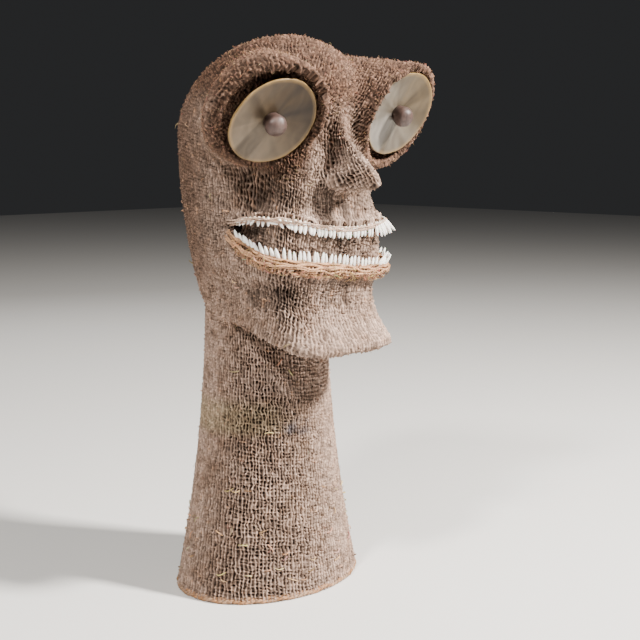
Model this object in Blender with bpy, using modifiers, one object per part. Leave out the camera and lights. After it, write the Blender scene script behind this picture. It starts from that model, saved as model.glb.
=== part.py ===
"""Kukailimoku figure: the head and neck of a Hawaiian feathered god image, bare of its feathers.

A hollow basket of aerial root covered with a fine net, two pearl shell eyes with wooden pupils
held on pegs, and two rows of dog teeth in an open mouth. Metres, +Z up. The figure faces -Y and
its own left side is +X. Points of the form are written (x, forward, height), forward being -Y.
"""

import math

import bmesh
import bpy
import numpy as np
from mathutils import Matrix, Vector

# Neck: an open column, wider than deep at its foot and nearly round under the jaw.
NECK_TOP_HEIGHT = 0.300
NECK_TOP_RADIUS = 0.060
FOOT_RADIUS = 0.0915
FOOT_FLARE_POWER = 1.95
FOOT_WIDTH_RATIO = 1.118
FOOT_DEPTH_RATIO = 0.866
TOP_WIDTH_RATIO = 1.040
TOP_DEPTH_RATIO = 0.960
NECK_BURIED_LENGTH = 0.030
FOOT_SPARE = 0.012

# Skull: an ellipsoid, long below its middle, whose crown leans forward.
SKULL_MIDDLE = 0.456
SKULL_FORWARD = 0.012
SKULL_HALF_WIDTH = 0.084
SKULL_BACK_DEPTH = 0.105
SKULL_FACE_DEPTH = 0.086
SKULL_ABOVE = 0.0875
SKULL_BELOW = 0.262
SKULL_LEAN = 0.19

# Jaw: a wedge under the mouth, cut off by one slanted plane.
JAW_NAPE_HEIGHT = 0.2786
JAW_SLOPE = 0.267
CHIN_HALF_WIDTH = 0.0705
CHIN_FRONT = 0.127
CHIN_LEVEL = 0.254
CHIN_POWER = 4.2
CHIN_SPARE = 0.020
JAW_CURVE = 2.2
UNDER_LIP_HALF_WIDTH = 0.067
UNDER_LIP_FRONT = 0.099
UNDER_LIP_LEVEL = 0.305
UNDER_LIP_POWER = 4.4

# Cheeks and brow, in front of the skull.
CHEEK_HALF_WIDTH = 0.062
CHEEK_FRONT = 0.0975
CHEEK_LEVEL = 0.390
BROW_HALF_WIDTH = 0.050
BROW_FRONT = 0.096
BROW_LEVEL = 0.476
BROW_POWER = 3.0
BROW_BAND = 0.036
FOREHEAD_HALF_WIDTH = 0.030
FOREHEAD_FRONT = 0.074
FOREHEAD_POWER = 2.5
FOREHEAD_RISE = 0.022
FACE_POWER = 5.5
FACE_BACK = -0.020
LIP_SHELF = 0.010
LIP_EASING = 0.008

# Mouth: it follows a boxy half oval in plan, from one corner round the front to the other.
MOUTH_HALF_WIDTH = 0.078
MOUTH_FRONT = 0.105
MOUTH_BACK = 0.020
MOUTH_REACH = 0.133
MOUTH_STEP_LENGTH = 0.002
UPPER_LIP_CENTRE = 0.3625
UPPER_LIP_RISE = 0.0090
UPPER_LIP_PEAK = 0.095
UPPER_LIP_LEAN = 0.0030
LOWER_LIP_CENTRE = 0.3266
LOWER_LIP_RISE = 0.034
LOWER_LIP_POWER = 3.3
LOWER_LIP_LEAN = 0.0050
UPPER_LIP_RADIUS = 0.0042
UPPER_LIP_OFF_ROOT = 0.0020
UPPER_LIP_INWARD = 0.0015
LOWER_LIP_RADIUS = 0.0056
LOWER_LIP_OFF_ROOT = 0.0040
LOWER_LIP_INWARD = 0.0
MOUTH_FRONT_DEPTH = 0.0085
MOUTH_CORNER_DEPTH = 0.0045
MOUTH_SIDE_DEPTH = 0.0110
MOUTH_CORNER_WALK = 0.076
MOUTH_SIDE_WALK = 0.106
LIP_PASSAGE = 0.0725
LIP_PASSAGE_FRONT = 0.0995
MOUTH_CLEAR = 0.025

# Eyes: discs of pearl shell that look forward, outward and down.
EYE_HALF_SPACING = 0.084
EYE_FORWARD = 0.103
EYE_HEIGHT = 0.464
EYE_TILT = math.radians(30.5)
EYE_TILT_LEAN = math.radians(4.0)
EYE_SPLAY = math.radians(6.0)
EYE_SPLAY_LEAN = math.radians(3.0)
FACE_LEAN = 0.060
SHELL_RADIUS = 0.0432
SHELL_EGG = 0.035
SHELL_THICKNESS = 0.0024
SHELL_DISH = 0.0045
PUPIL_RADIUS = 0.0100
PUPIL_HEIGHT = 0.0172
PEG_RADIUS = 0.0034
PEG_LENGTH = 0.014
PUPIL_FOOT_SHARE = 0.72
PUPIL_WIDEST_SHARE = 0.42
HOOD_RADIUS = 0.0510
HOOD_THICK = 0.0090
HOOD_THIN = 0.0048
HOOD_BACK = 0.006
HOOD_DROP = 0.002
HOOD_TURN = math.radians(13.0)
HOOD_THICKEST = math.radians(55.0)
MOUND_FRONT = (0.046, 0.050, 0.483)
MOUND_FRONT_RADIUS = 0.044
MOUND_BACK = (0.048, 0.010, 0.454)
MOUND_BACK_RADIUS = 0.034
SOCKET_RADIUS = 0.0474
SOCKET_PAD = 0.014
SOCKET_PAD_SLOPE = 0.010
SOCKET_SHARE = 0.45
SOCKET_DEPTH = 0.019
SOCKET_ROUNDING = 0.006
SOCKET_FLARE = 0.004

# Nose: a narrow bridge, steep at first, that runs out to a sharp tip over two wings.
NOSE_ROOT = (0.0, 0.090, 0.474)
NOSE_ROOT_RADIUS = 0.0115
NOSE_BRIDGE = (0.0, 0.1035, 0.4435)
NOSE_BRIDGE_RADIUS = 0.0072
NOSE_SLOPE = (0.0, 0.1310, 0.4200)
NOSE_SLOPE_RADIUS = 0.0074
NOSE_TIP = (0.0, 0.1495, 0.4055)
NOSE_TIP_RADIUS = 0.0060
NOSE_WING = (0.0148, 0.1140, 0.4065)
NOSE_WING_RADIUS = 0.0078
NOSE_BASE = (0.0, 0.092, 0.404)
NOSE_BASE_RADIUS = 0.010
NOSE_WING_ROOT = (0.010, 0.094, 0.408)
NOSE_WING_ROOT_RADIUS = 0.008

# Hollow: the space inside the basketry wall, as wide and as far forward as the face allows.
WALL = 0.007
CHIN_WALL = 0.020
LIP_WALL = 0.006
LIP_WALL_SIDE = 0.004
CHEEK_HOLLOW_FRONT = 0.066
CROWN_HOLLOW = ((0.0, 0.064, 0.064), (0.40, 0.060, 0.068), (0.66, 0.054, 0.070), (0.84, 0.040, 0.060))

# The gap left between touching pieces, and the grain of the faceted surface.
CLEARANCE = 0.0003
VOXEL = 0.0028
BODY_SMOOTHING = 5
BODY_TRIANGLES = 4300

# Teeth: canines set side by side in a cord binding.
TEETH_PER_ROW = 54
TOOTH_WIDTH = 0.0036
UPPER_TOOTH_LENGTH = 0.0090
LOWER_TOOTH_LENGTH = 0.0110
BINDING_HEIGHT = 0.0026
BINDING_DEPTH = 0.0032
TOOTH_SETBACK = 0.0004
TOOTH_TAPER = 0.45
TOOTH_SHARE = 0.45
TOOTH_ROW_END = 0.010


def at(x, forward, height):
    return Vector((x, -forward, height))


def material(name, colour, roughness, metallic=0.0):
    made = bpy.data.materials.new(name)
    made.use_nodes = True
    shader = made.node_tree.nodes["Principled BSDF"]
    shader.inputs["Base Color"].default_value = (*colour, 1.0)
    shader.inputs["Roughness"].default_value = roughness
    shader.inputs["Metallic"].default_value = metallic
    return made


def new_object(name, mesh_tools, collection, closed=True):
    mesh = bpy.data.meshes.new(name)
    if closed:
        bmesh.ops.recalc_face_normals(mesh_tools, faces=mesh_tools.faces)
    mesh_tools.to_mesh(mesh)
    mesh_tools.free()
    made = bpy.data.objects.new(name, mesh)
    collection.objects.link(made)
    return made


def skin(tools, rings):
    """A loft through rings of equal count, capped at both ends."""
    rows = [[tools.verts.new(point) for point in ring] for ring in rings]
    count = len(rows[0])
    for low, high in zip(rows, rows[1:]):
        for i in range(count):
            j = (i + 1) % count
            tools.faces.new((low[i], low[j], high[j], high[i]))
    tools.faces.new(rows[0][::-1])
    tools.faces.new(rows[-1])


def oval_ring(half_width, back, front, height, power=2.0, count=64):
    """A level ring, superelliptic in plan, between two depths."""
    middle = (front + back) / 2
    half_depth = (front - back) / 2
    points = []
    for turn in np.linspace(0, 2 * math.pi, count, endpoint=False):
        side = math.copysign(abs(math.sin(turn)) ** (2 / power), math.sin(turn))
        ahead = math.copysign(abs(math.cos(turn)) ** (2 / power), math.cos(turn))
        points.append(at(half_width * side, middle + half_depth * ahead, height))
    return points


def neck_radii(height):
    """Half width and half depth of the neck at this height."""
    share = max(1 - height / NECK_TOP_HEIGHT, 0.0)
    radius = NECK_TOP_RADIUS + (FOOT_RADIUS - NECK_TOP_RADIUS) * share**FOOT_FLARE_POWER
    wide = TOP_WIDTH_RATIO + (FOOT_WIDTH_RATIO - TOP_WIDTH_RATIO) * share
    deep = TOP_DEPTH_RATIO + (FOOT_DEPTH_RATIO - TOP_DEPTH_RATIO) * share
    return radius * wide, radius * deep


def add_neck(tools):
    rings = []
    for height in np.linspace(-FOOT_SPARE, NECK_TOP_HEIGHT + NECK_BURIED_LENGTH, 30):
        wide, deep = neck_radii(height)
        rings.append(oval_ring(wide, -deep, deep, height))
    skin(tools, rings)


def skull_point(x, forward, up, inset=0.0):
    """Carries a point of the unit sphere to the skull, or to a surface inside it."""
    height = up * ((SKULL_ABOVE if up > 0 else SKULL_BELOW) - inset)
    ahead = SKULL_FACE_DEPTH + (SKULL_BACK_DEPTH - SKULL_FACE_DEPTH) * max(up, 0.0)
    depth = (ahead if forward > 0 else SKULL_BACK_DEPTH) - inset
    middle = SKULL_FORWARD + SKULL_LEAN * max(height, 0.0)
    return at(x * (SKULL_HALF_WIDTH - inset), middle + forward * depth, SKULL_MIDDLE + height)


def add_skull(tools):
    made = bmesh.ops.create_uvsphere(tools, u_segments=64, v_segments=48, radius=1.0)
    for vert in made["verts"]:
        vert.co = skull_point(vert.co.x, -vert.co.y, vert.co.z)


def add_hull(tools, balls):
    """The convex hull of balls, each written (place, radius)."""
    hull = bmesh.new()
    for place, radius in balls:
        bmesh.ops.create_icosphere(
            hull, subdivisions=3, radius=radius, matrix=Matrix.Translation(place)
        )
    made = bmesh.ops.convex_hull(hull, input=hull.verts[:])
    left_over = made["geom_interior"] + made["geom_unused"]
    inner = {piece for piece in left_over if isinstance(piece, bmesh.types.BMVert)}
    bmesh.ops.delete(hull, geom=list(inner), context="VERTS")
    mesh = bpy.data.meshes.new("hull")
    hull.to_mesh(mesh)
    hull.free()
    tools.from_mesh(mesh)
    bpy.data.meshes.remove(mesh)


def mirrored(balls):
    """Balls written ((x, forward, height), radius), on both sides of the middle."""
    pairs = []
    for (x, forward, height), radius in balls:
        for side in (1, -1):
            pairs.append((at(side * x, forward, height), radius))
    return pairs


def add_tube(tools, points, radius, sides=14):
    """A round bar along a path."""
    rings = []
    for i, point in enumerate(points):
        along = (points[min(i + 1, len(points) - 1)] - points[max(i - 1, 0)]).normalized()
        side = along.cross(Vector((0, 0, 1))).normalized()
        up = side.cross(along)
        turns = np.linspace(0, 2 * math.pi, sides, endpoint=False)
        rings.append([point + radius * (math.cos(t) * side + math.sin(t) * up) for t in turns])
    skin(tools, rings)


def mouth_table(count=721):
    """Plan points of the mouth's path, with the distance of each from the middle of the front."""
    turns = np.linspace(-math.pi / 2, math.pi / 2, count)
    side = np.sign(np.sin(turns)) * np.abs(np.sin(turns)) ** (2 / FACE_POWER)
    ahead = np.abs(np.cos(turns)) ** (2 / FACE_POWER)
    plan = np.stack([MOUTH_HALF_WIDTH * side, MOUTH_BACK + (MOUTH_FRONT - MOUTH_BACK) * ahead], 1)
    walked = np.concatenate([[0], np.cumsum(np.linalg.norm(np.diff(plan, axis=0), axis=1))])
    return plan, walked - walked[count // 2]


MOUTH_PLAN, MOUTH_WALK = mouth_table()


def mouth_frame(walk):
    """Plan point and outward direction of the mouth's path, this far from the middle."""
    x, forward = (np.interp(walk, MOUTH_WALK, MOUTH_PLAN[:, i]) for i in (0, 1))
    ahead, behind = (
        np.array([np.interp(walk + d, MOUTH_WALK, MOUTH_PLAN[:, i]) for i in (0, 1)])
        for d in (MOUTH_STEP_LENGTH, -MOUTH_STEP_LENGTH)
    )
    along = (ahead - behind) / np.linalg.norm(ahead - behind)
    return np.array([x, forward]), np.array([-along[1], along[0]])


def mouth_lean(walk):
    """The mouth sits a little askew: higher on the figure's right than on its left."""
    return -math.sin(math.pi * walk / MOUTH_REACH)


def upper_root(walk):
    wave = math.sin(math.pi / 2 * walk / UPPER_LIP_PEAK) ** 2
    return UPPER_LIP_CENTRE + UPPER_LIP_RISE * wave + UPPER_LIP_LEAN * mouth_lean(walk)


def lower_root(walk):
    rise = LOWER_LIP_RISE * (abs(walk) / MOUTH_REACH) ** LOWER_LIP_POWER
    return LOWER_LIP_CENTRE + rise + LOWER_LIP_LEAN * mouth_lean(walk)


def mouth_point(walk, outward, height):
    plan, out = mouth_frame(walk)
    plan = plan + outward * out
    return at(plan[0], plan[1], height)


def lip_points(root, drop, outward, count=61):
    walks = np.linspace(-MOUTH_REACH, MOUTH_REACH, count)
    return [mouth_point(walk, outward, root(walk) + drop) for walk in walks]


def eye_frame(side, lean=FACE_LEAN, drop=0.0):
    """Matrix of one eye: its z axis looks out along the disc's normal, its y axis up the disc."""
    tilt = EYE_TILT - side * EYE_TILT_LEAN
    splay = side * EYE_SPLAY - EYE_SPLAY_LEAN
    level = math.cos(tilt)
    look = Vector((level * math.sin(splay), -level * math.cos(splay), -math.sin(tilt)))
    across = Vector((0, 0, 1)).cross(look).normalized()
    turned = Matrix((across, look.cross(across), look)).transposed().to_4x4()
    height = EYE_HEIGHT - drop + side * lean * EYE_HALF_SPACING
    return Matrix.Translation(at(side * EYE_HALF_SPACING, EYE_FORWARD, height)) @ turned


def hood_ring(side, count):
    """Centres and radii round one hood: thick above and outside, thin below and by the nose."""
    frame = eye_frame(side, lean=0.0, drop=HOOD_DROP)
    ring = []
    for turn in np.linspace(0, 2 * math.pi, count, endpoint=False):
        away = math.cos(turn - math.pi / 2 + side * HOOD_THICKEST)
        radius = (HOOD_THICK + HOOD_THIN) / 2 + (HOOD_THICK - HOOD_THIN) / 2 * away
        reach = HOOD_RADIUS - HOOD_THICK + radius
        back = HOOD_BACK + math.tan(HOOD_TURN) * side * reach * math.cos(turn)
        place = frame @ Vector((reach * math.cos(turn), reach * math.sin(turn), -back))
        ring.append((place, radius))
    return ring


def add_eye_mound(tools, side):
    """The swelling that carries one eye out from the skull, with its raised hood."""
    balls = hood_ring(side, 28)
    for (x, forward, height), radius in (
        (MOUND_FRONT, MOUND_FRONT_RADIUS),
        (MOUND_BACK, MOUND_BACK_RADIUS),
    ):
        balls.append((at(side * x, forward, height), radius))
    add_hull(tools, balls)


def socket_cutter(side, cutters):
    """The moat behind one shell, with a pad left standing in its middle for the shell to sit on."""
    seat = SHELL_DISH + SHELL_THICKNESS + CLEARANCE
    profile = [
        (SOCKET_PAD, -seat, 0.0),
        (SOCKET_PAD + SOCKET_PAD_SLOPE, -(seat + SOCKET_DEPTH) / 2, 0.5),
        (SOCKET_RADIUS - SOCKET_ROUNDING, -SOCKET_DEPTH, 1.0),
        (SOCKET_RADIUS, SOCKET_ROUNDING - SOCKET_DEPTH, 1.0),
        (SOCKET_RADIUS + SOCKET_FLARE, HOOD_RADIUS, 1.0),
    ]
    frame = eye_frame(side)
    rise = -SOCKET_SHARE * (side * FACE_LEAN * EYE_HALF_SPACING + HOOD_DROP)
    rings = []
    for radius, depth, share in profile:
        ring = []
        for turn in np.linspace(0, 2 * math.pi, 40, endpoint=False):
            across, up = radius * math.cos(turn), radius * math.sin(turn) + share * rise
            ring.append(frame @ Vector((across, up, depth)))
        rings.append(ring)
    tools = bmesh.new()
    skin(tools, rings)
    return new_object("socket_cutter", tools, cutters)


def mouth_depth(walk):
    """Depth of the open mouth behind its outline: shallow at the front corners, deep at the sides."""
    walks = (0, MOUTH_CORNER_WALK, MOUTH_SIDE_WALK)
    depths = (MOUTH_FRONT_DEPTH, MOUTH_CORNER_DEPTH, MOUTH_SIDE_DEPTH)
    return float(np.interp(abs(walk), walks, depths))


def mouth_cutter(cutters):
    """The open mouth: a channel between the two roots, behind the lips."""
    rings = []
    for walk in np.linspace(-MOUTH_REACH, MOUTH_REACH, 45):
        low, high = lower_root(walk), upper_root(walk)
        rings.append([
            mouth_point(walk, MOUTH_CLEAR, low),
            mouth_point(walk, MOUTH_CLEAR, high),
            mouth_point(walk, -mouth_depth(walk), high),
            mouth_point(walk, -mouth_depth(walk), low),
        ])
    tools = bmesh.new()
    skin(tools, rings)
    return new_object("mouth_cutter", tools, cutters)


def hollow_cutter(cutters):
    """The inside of the basket, open at the foot."""
    rings = []
    for height in np.linspace(-FOOT_SPARE, NECK_TOP_HEIGHT - FOOT_SPARE, 12):
        wide, deep = neck_radii(height)
        rings.append(oval_ring(wide - WALL, WALL - deep, deep - WALL, height, count=32))
    wide = MOUTH_HALF_WIDTH - MOUTH_SIDE_DEPTH - WALL
    ahead = MOUTH_FRONT - MOUTH_FRONT_DEPTH - WALL
    limits = [
        (UNDER_LIP_LEVEL, NECK_TOP_RADIUS - WALL, ahead - CHIN_WALL),
        (LOWER_LIP_CENTRE, wide - LIP_WALL_SIDE, ahead - LIP_WALL),
        (UPPER_LIP_CENTRE, wide, ahead),
        (CHEEK_LEVEL, wide, ahead),
        (EYE_HEIGHT - SOCKET_RADIUS, wide, CHEEK_HOLLOW_FRONT),
    ]
    for share, most_wide, most_ahead in CROWN_HOLLOW:
        limits.append((SKULL_MIDDLE + share * SKULL_ABOVE, most_wide, most_ahead))
    for height, most_wide, most_ahead in limits:
        reach_up = (SKULL_ABOVE if height > SKULL_MIDDLE else SKULL_BELOW) - WALL
        up = (height - SKULL_MIDDLE) / reach_up
        reach = math.sqrt(max(1 - up * up, 0.0))
        rear = -skull_point(0.0, -reach, up, WALL).y
        half_width = min(skull_point(reach, 0.0, up, WALL).x, most_wide)
        rings.append(oval_ring(half_width, rear, most_ahead, height, count=32))
    tools = bmesh.new()
    skin(tools, rings)
    return new_object("hollow_cutter", tools, cutters)


def add_face(tools):
    """Jaw, mouth, cheeks and brow in front of the skull: level rings from the chin up."""
    low = LOWER_LIP_CENTRE
    high = UPPER_LIP_CENTRE + UPPER_LIP_RISE
    chin = (CHIN_HALF_WIDTH, CHIN_FRONT, CHIN_POWER)
    under = (UNDER_LIP_HALF_WIDTH, UNDER_LIP_FRONT, UNDER_LIP_POWER)
    mouth = (MOUTH_HALF_WIDTH, MOUTH_FRONT, FACE_POWER)
    passage = (LIP_PASSAGE, LIP_PASSAGE_FRONT, FACE_POWER)
    cheek = (CHEEK_HALF_WIDTH, CHEEK_FRONT, FACE_POWER)
    brow = (BROW_HALF_WIDTH, BROW_FRONT, BROW_POWER)
    forehead = (FOREHEAD_HALF_WIDTH, FOREHEAD_FRONT, FOREHEAD_POWER)
    sections = [(CHIN_LEVEL - CHIN_SPARE, chin, chin, 0), (CHIN_LEVEL, chin, chin, 0)]
    for share in np.linspace(0.1, 1, 8):
        level = CHIN_LEVEL + share * (UNDER_LIP_LEVEL - CHIN_LEVEL)
        sections.append((level, chin, under, 1 - (1 - share) ** JAW_CURVE))
    sections += [
        (low - LIP_SHELF, under, mouth, 0.55),
        (low, under, mouth, 1),
        (UPPER_LIP_CENTRE, mouth, mouth, 0),
        (high, mouth, passage, 1),
        (high + LIP_EASING, passage, cheek, 0.6),
        (CHEEK_LEVEL, passage, cheek, 1),
        (BROW_LEVEL - BROW_BAND, cheek, brow, 0.35),
        (BROW_LEVEL, cheek, brow, 1),
        (BROW_LEVEL + FOREHEAD_RISE, brow, forehead, 1),
    ]
    rings = []
    for level, lower, upper, share in sections:
        half_width, front, power = (a + share * (b - a) for a, b in zip(lower, upper))
        rings.append(oval_ring(half_width, FACE_BACK, front, level, power))
    skin(tools, rings)


def add_nose(tools):
    base = (NOSE_BASE, NOSE_BASE_RADIUS)
    slope = (NOSE_SLOPE, NOSE_SLOPE_RADIUS)
    ridge = [
        (NOSE_ROOT, NOSE_ROOT_RADIUS),
        (NOSE_BRIDGE, NOSE_BRIDGE_RADIUS),
        slope,
        (NOSE_TIP, NOSE_TIP_RADIUS),
    ]
    wing = [(NOSE_WING, NOSE_WING_RADIUS), slope, (NOSE_WING_ROOT, NOSE_WING_ROOT_RADIUS)]
    for upper, lower in zip(ridge, ridge[1:]):
        add_hull(tools, mirrored([upper, lower, base]))
    for side in (-1, 1):
        add_hull(tools, [(at(side * x, forward, height), r) for (x, forward, height), r in wing])


def apply_modifiers(thing):
    graph = bpy.context.evaluated_depsgraph_get()
    mesh = bpy.data.meshes.new_from_object(thing.evaluated_get(graph))
    thing.modifiers.clear()
    thing.data = mesh


def melt(thing, smoothing=0):
    """Turns overlapping closed shapes into one even skin, and rounds its creases."""
    remesh = thing.modifiers.new("Melt", "REMESH")
    remesh.mode = "VOXEL"
    remesh.voxel_size = VOXEL
    if smoothing:
        smooth = thing.modifiers.new("Round", "SMOOTH")
        smooth.factor = 0.5
        smooth.iterations = smoothing
    apply_modifiers(thing)


def cut(thing, cutter):
    boolean = thing.modifiers.new("Cut", "BOOLEAN")
    boolean.operation = "DIFFERENCE"
    boolean.object = cutter
    cutter.hide_render = True
    cutter.display_type = "WIRE"
    apply_modifiers(thing)


def foot_cutter(cutters):
    """A block under the level that the foot stands on."""
    size = 4 * FOOT_RADIUS
    tools = bmesh.new()
    bmesh.ops.create_cube(tools, size=size, matrix=Matrix.Translation((0, 0, -size / 2)))
    return new_object("foot_cutter", tools, cutters)


def peg_cutter(side, cutters):
    """The bore for one peg, from its end up through the pad."""
    seat = SHELL_DISH + SHELL_THICKNESS
    bottom = -seat - PEG_LENGTH - CLEARANCE
    top = SHELL_DISH - seat
    radius = PEG_RADIUS + CLEARANCE
    place = eye_frame(side) @ Matrix.Translation((0, 0, (bottom + top) / 2))
    tools = bmesh.new()
    bmesh.ops.create_cone(
        tools,
        cap_ends=True,
        segments=16,
        radius1=radius,
        radius2=radius,
        depth=top - bottom,
        matrix=place,
    )
    return new_object("peg_cutter", tools, cutters)


def cut_jaw(tools):
    """Cuts off all of the head under the slanted plane of the jaw."""
    geometry = tools.verts[:] + tools.edges[:] + tools.faces[:]
    normal = Vector((0.0, -JAW_SLOPE, 1.0)).normalized()
    bmesh.ops.bisect_plane(
        tools, geom=geometry, plane_co=at(0, 0, JAW_NAPE_HEIGHT), plane_no=normal, clear_inner=True
    )
    bmesh.ops.holes_fill(tools, edges=[edge for edge in tools.edges if edge.is_boundary])


def wicker_body(parts, cutters):
    head = bmesh.new()
    add_skull(head)
    add_face(head)
    for side in (-1, 1):
        add_eye_mound(head, side)
    body = new_object("wicker_body", head, parts)
    melt(body)
    tools = bmesh.new()
    tools.from_mesh(body.data)
    cut_jaw(tools)
    add_neck(tools)
    add_nose(tools)
    for root, drop, inward, radius in (
        (upper_root, UPPER_LIP_OFF_ROOT, UPPER_LIP_INWARD, UPPER_LIP_RADIUS),
        (lower_root, -LOWER_LIP_OFF_ROOT, LOWER_LIP_INWARD, LOWER_LIP_RADIUS),
    ):
        add_tube(tools, lip_points(root, drop, -inward), radius)
    tools.to_mesh(body.data)
    tools.free()
    melt(body)
    for side in (-1, 1):
        cut(body, socket_cutter(side, cutters))
    melt(body, smoothing=BODY_SMOOTHING)
    thin = body.modifiers.new("Thin", "DECIMATE")
    thin.ratio = BODY_TRIANGLES / (2 * len(body.data.polygons))
    apply_modifiers(body)
    cut(body, mouth_cutter(cutters))
    cut(body, hollow_cutter(cutters))
    for side in (-1, 1):
        cut(body, peg_cutter(side, cutters))
    cut(body, foot_cutter(cutters))
    return body


def eye_shell(side, parts):
    """A dished disc with a hole for the peg, a little narrower below, lying in its eye's frame."""
    rings = []
    for radius in np.linspace(PEG_RADIUS + CLEARANCE, SHELL_RADIUS, 4):
        share = radius / SHELL_RADIUS
        depth = SHELL_DISH * (share**2 - 1)
        ring = []
        for turn in np.linspace(0, 2 * math.pi, 32, endpoint=False):
            egg = 1 + SHELL_EGG * share * math.sin(turn)
            ring.append(Vector((radius * egg * math.cos(turn), radius * math.sin(turn), depth)))
        rings.append(ring)
    tools = bmesh.new()
    rows = [[tools.verts.new(point) for point in ring] for ring in rings]
    for low, high in zip(rows, rows[1:]):
        for i in range(len(low)):
            j = (i + 1) % len(low)
            tools.faces.new((low[i], high[i], high[j], low[j]))
    name = "left_eye_shell" if side > 0 else "right_eye_shell"
    shell = new_object(name, tools, parts, closed=False)
    shell.matrix_world = eye_frame(side)
    solid = shell.modifiers.new("Thickness", "SOLIDIFY")
    solid.thickness = SHELL_THICKNESS
    solid.offset = -1
    return shell


def pupil(side, parts):
    """A knob on a peg, turned as one piece."""
    seat = CLEARANCE - SHELL_DISH
    peg_end = -PEG_LENGTH - SHELL_DISH - SHELL_THICKNESS
    below = PUPIL_WIDEST_SHARE * PUPIL_HEIGHT
    above = PUPIL_HEIGHT - below
    profile = [
        (0.0, peg_end),
        (PEG_RADIUS, peg_end),
        (PEG_RADIUS, seat),
        (PUPIL_RADIUS * PUPIL_FOOT_SHARE, seat),
    ]
    for turn in np.radians([-20, 12, 40, 66]):
        rise = (above if turn > 0 else below) * math.sin(turn)
        profile.append((PUPIL_RADIUS * math.cos(turn), seat + below + rise))
    profile.append((0.0, seat + PUPIL_HEIGHT))
    tools = bmesh.new()
    verts = [tools.verts.new((radius, 0, height)) for radius, height in profile[::-1]]
    for first, second in zip(verts, verts[1:]):
        tools.edges.new((first, second))
    made = new_object("left_pupil" if side > 0 else "right_pupil", tools, parts, closed=False)
    made.matrix_world = eye_frame(side)
    screw = made.modifiers.new("Turn", "SCREW")
    screw.steps = screw.render_steps = 14
    screw.use_merge_vertices = True
    screw.merge_threshold = 0.00005
    return made


def tooth_row(name, root, way, length, parts):
    """Teeth side by side along one lip, standing on the cord that they are bound to."""
    reach = MOUTH_REACH - TOOTH_ROW_END
    rings = []
    for walk in np.linspace(-reach, reach, TEETH_PER_ROW + 1):
        seat = root(walk) - way * CLEARANCE
        free = seat - way * BINDING_HEIGHT
        outer, inner = -TOOTH_SETBACK, -TOOTH_SETBACK - BINDING_DEPTH
        rings.append([
            mouth_point(walk, outer, seat),
            mouth_point(walk, inner, seat),
            mouth_point(walk, inner, free),
            mouth_point(walk, outer, free),
        ])
    tools = bmesh.new()
    skin(tools, rings)
    pitch = 2 * reach / TEETH_PER_ROW
    walks = np.linspace(-reach + pitch / 2, reach - pitch / 2, TEETH_PER_ROW)
    biting = [face for i, face in enumerate(tools.faces) if i % 4 == 2 and i < 4 * TEETH_PER_ROW]
    bmesh.ops.inset_individual(tools, faces=biting, thickness=(pitch - TOOTH_WIDTH) / 2)
    teeth = bmesh.ops.extrude_discrete_faces(tools, faces=biting)["faces"]
    for face, walk in zip(teeth, walks):
        most = TOOTH_SHARE * (upper_root(walk) - lower_root(walk))
        drop = Vector((0, 0, -way * (min(length, most) - BINDING_HEIGHT)))
        middle = face.calc_center_median()
        for vert in face.verts:
            vert.co = middle + TOOTH_TAPER * (vert.co - middle) + drop
    return new_object(name, tools, parts)


def centre_on_foot(things):
    """Moves everything so that the middle of the whole object's box stands over the origin."""
    bpy.context.view_layer.update()
    graph = bpy.context.evaluated_depsgraph_get()
    corners = []
    for thing in things:
        found = thing.evaluated_get(graph)
        corners += [found.matrix_world @ vert.co for vert in found.data.vertices]
    spans = [[corner[axis] for corner in corners] for axis in (0, 1)]
    middle = [(min(span) + max(span)) / 2 for span in spans]
    for thing in bpy.data.objects:
        thing.matrix_world = Matrix.Translation((-middle[0], -middle[1], 0)) @ thing.matrix_world


def main():
    for thing in list(bpy.data.objects):
        bpy.data.objects.remove(thing, do_unlink=True)
    parts = bpy.data.collections.new("kukailimoku_figure")
    cutters = bpy.data.collections.new("cutters")
    for group in (parts, cutters):
        bpy.context.scene.collection.children.link(group)
    cutters.hide_render = True
    net = material("net_over_wicker", (0.20, 0.13, 0.10), 0.90)
    pearl = material("pearl_shell", (0.42, 0.38, 0.27), 0.30)
    wood = material("dark_wood", (0.13, 0.07, 0.06), 0.60)
    tooth = material("tooth_enamel", (0.82, 0.79, 0.72), 0.35)
    finishes = [(wicker_body(parts, cutters), net)]
    for side in (-1, 1):
        finishes.append((eye_shell(side, parts), pearl))
        finishes.append((pupil(side, parts), wood))
    finishes.append((tooth_row("upper_teeth", upper_root, 1, UPPER_TOOTH_LENGTH, parts), tooth))
    finishes.append((tooth_row("lower_teeth", lower_root, -1, LOWER_TOOTH_LENGTH, parts), tooth))
    for thing, finish in finishes:
        thing.data.materials.clear()
        thing.data.materials.append(finish)
    centre_on_foot([thing for thing, finish in finishes])


main()
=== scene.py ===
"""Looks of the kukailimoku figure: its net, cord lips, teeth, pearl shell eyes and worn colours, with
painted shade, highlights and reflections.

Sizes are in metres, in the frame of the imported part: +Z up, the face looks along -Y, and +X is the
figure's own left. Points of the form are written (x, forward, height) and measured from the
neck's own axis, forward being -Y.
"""

import math

import bmesh
import bpy
import numpy as np
from mathutils import Matrix, Vector, noise


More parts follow.
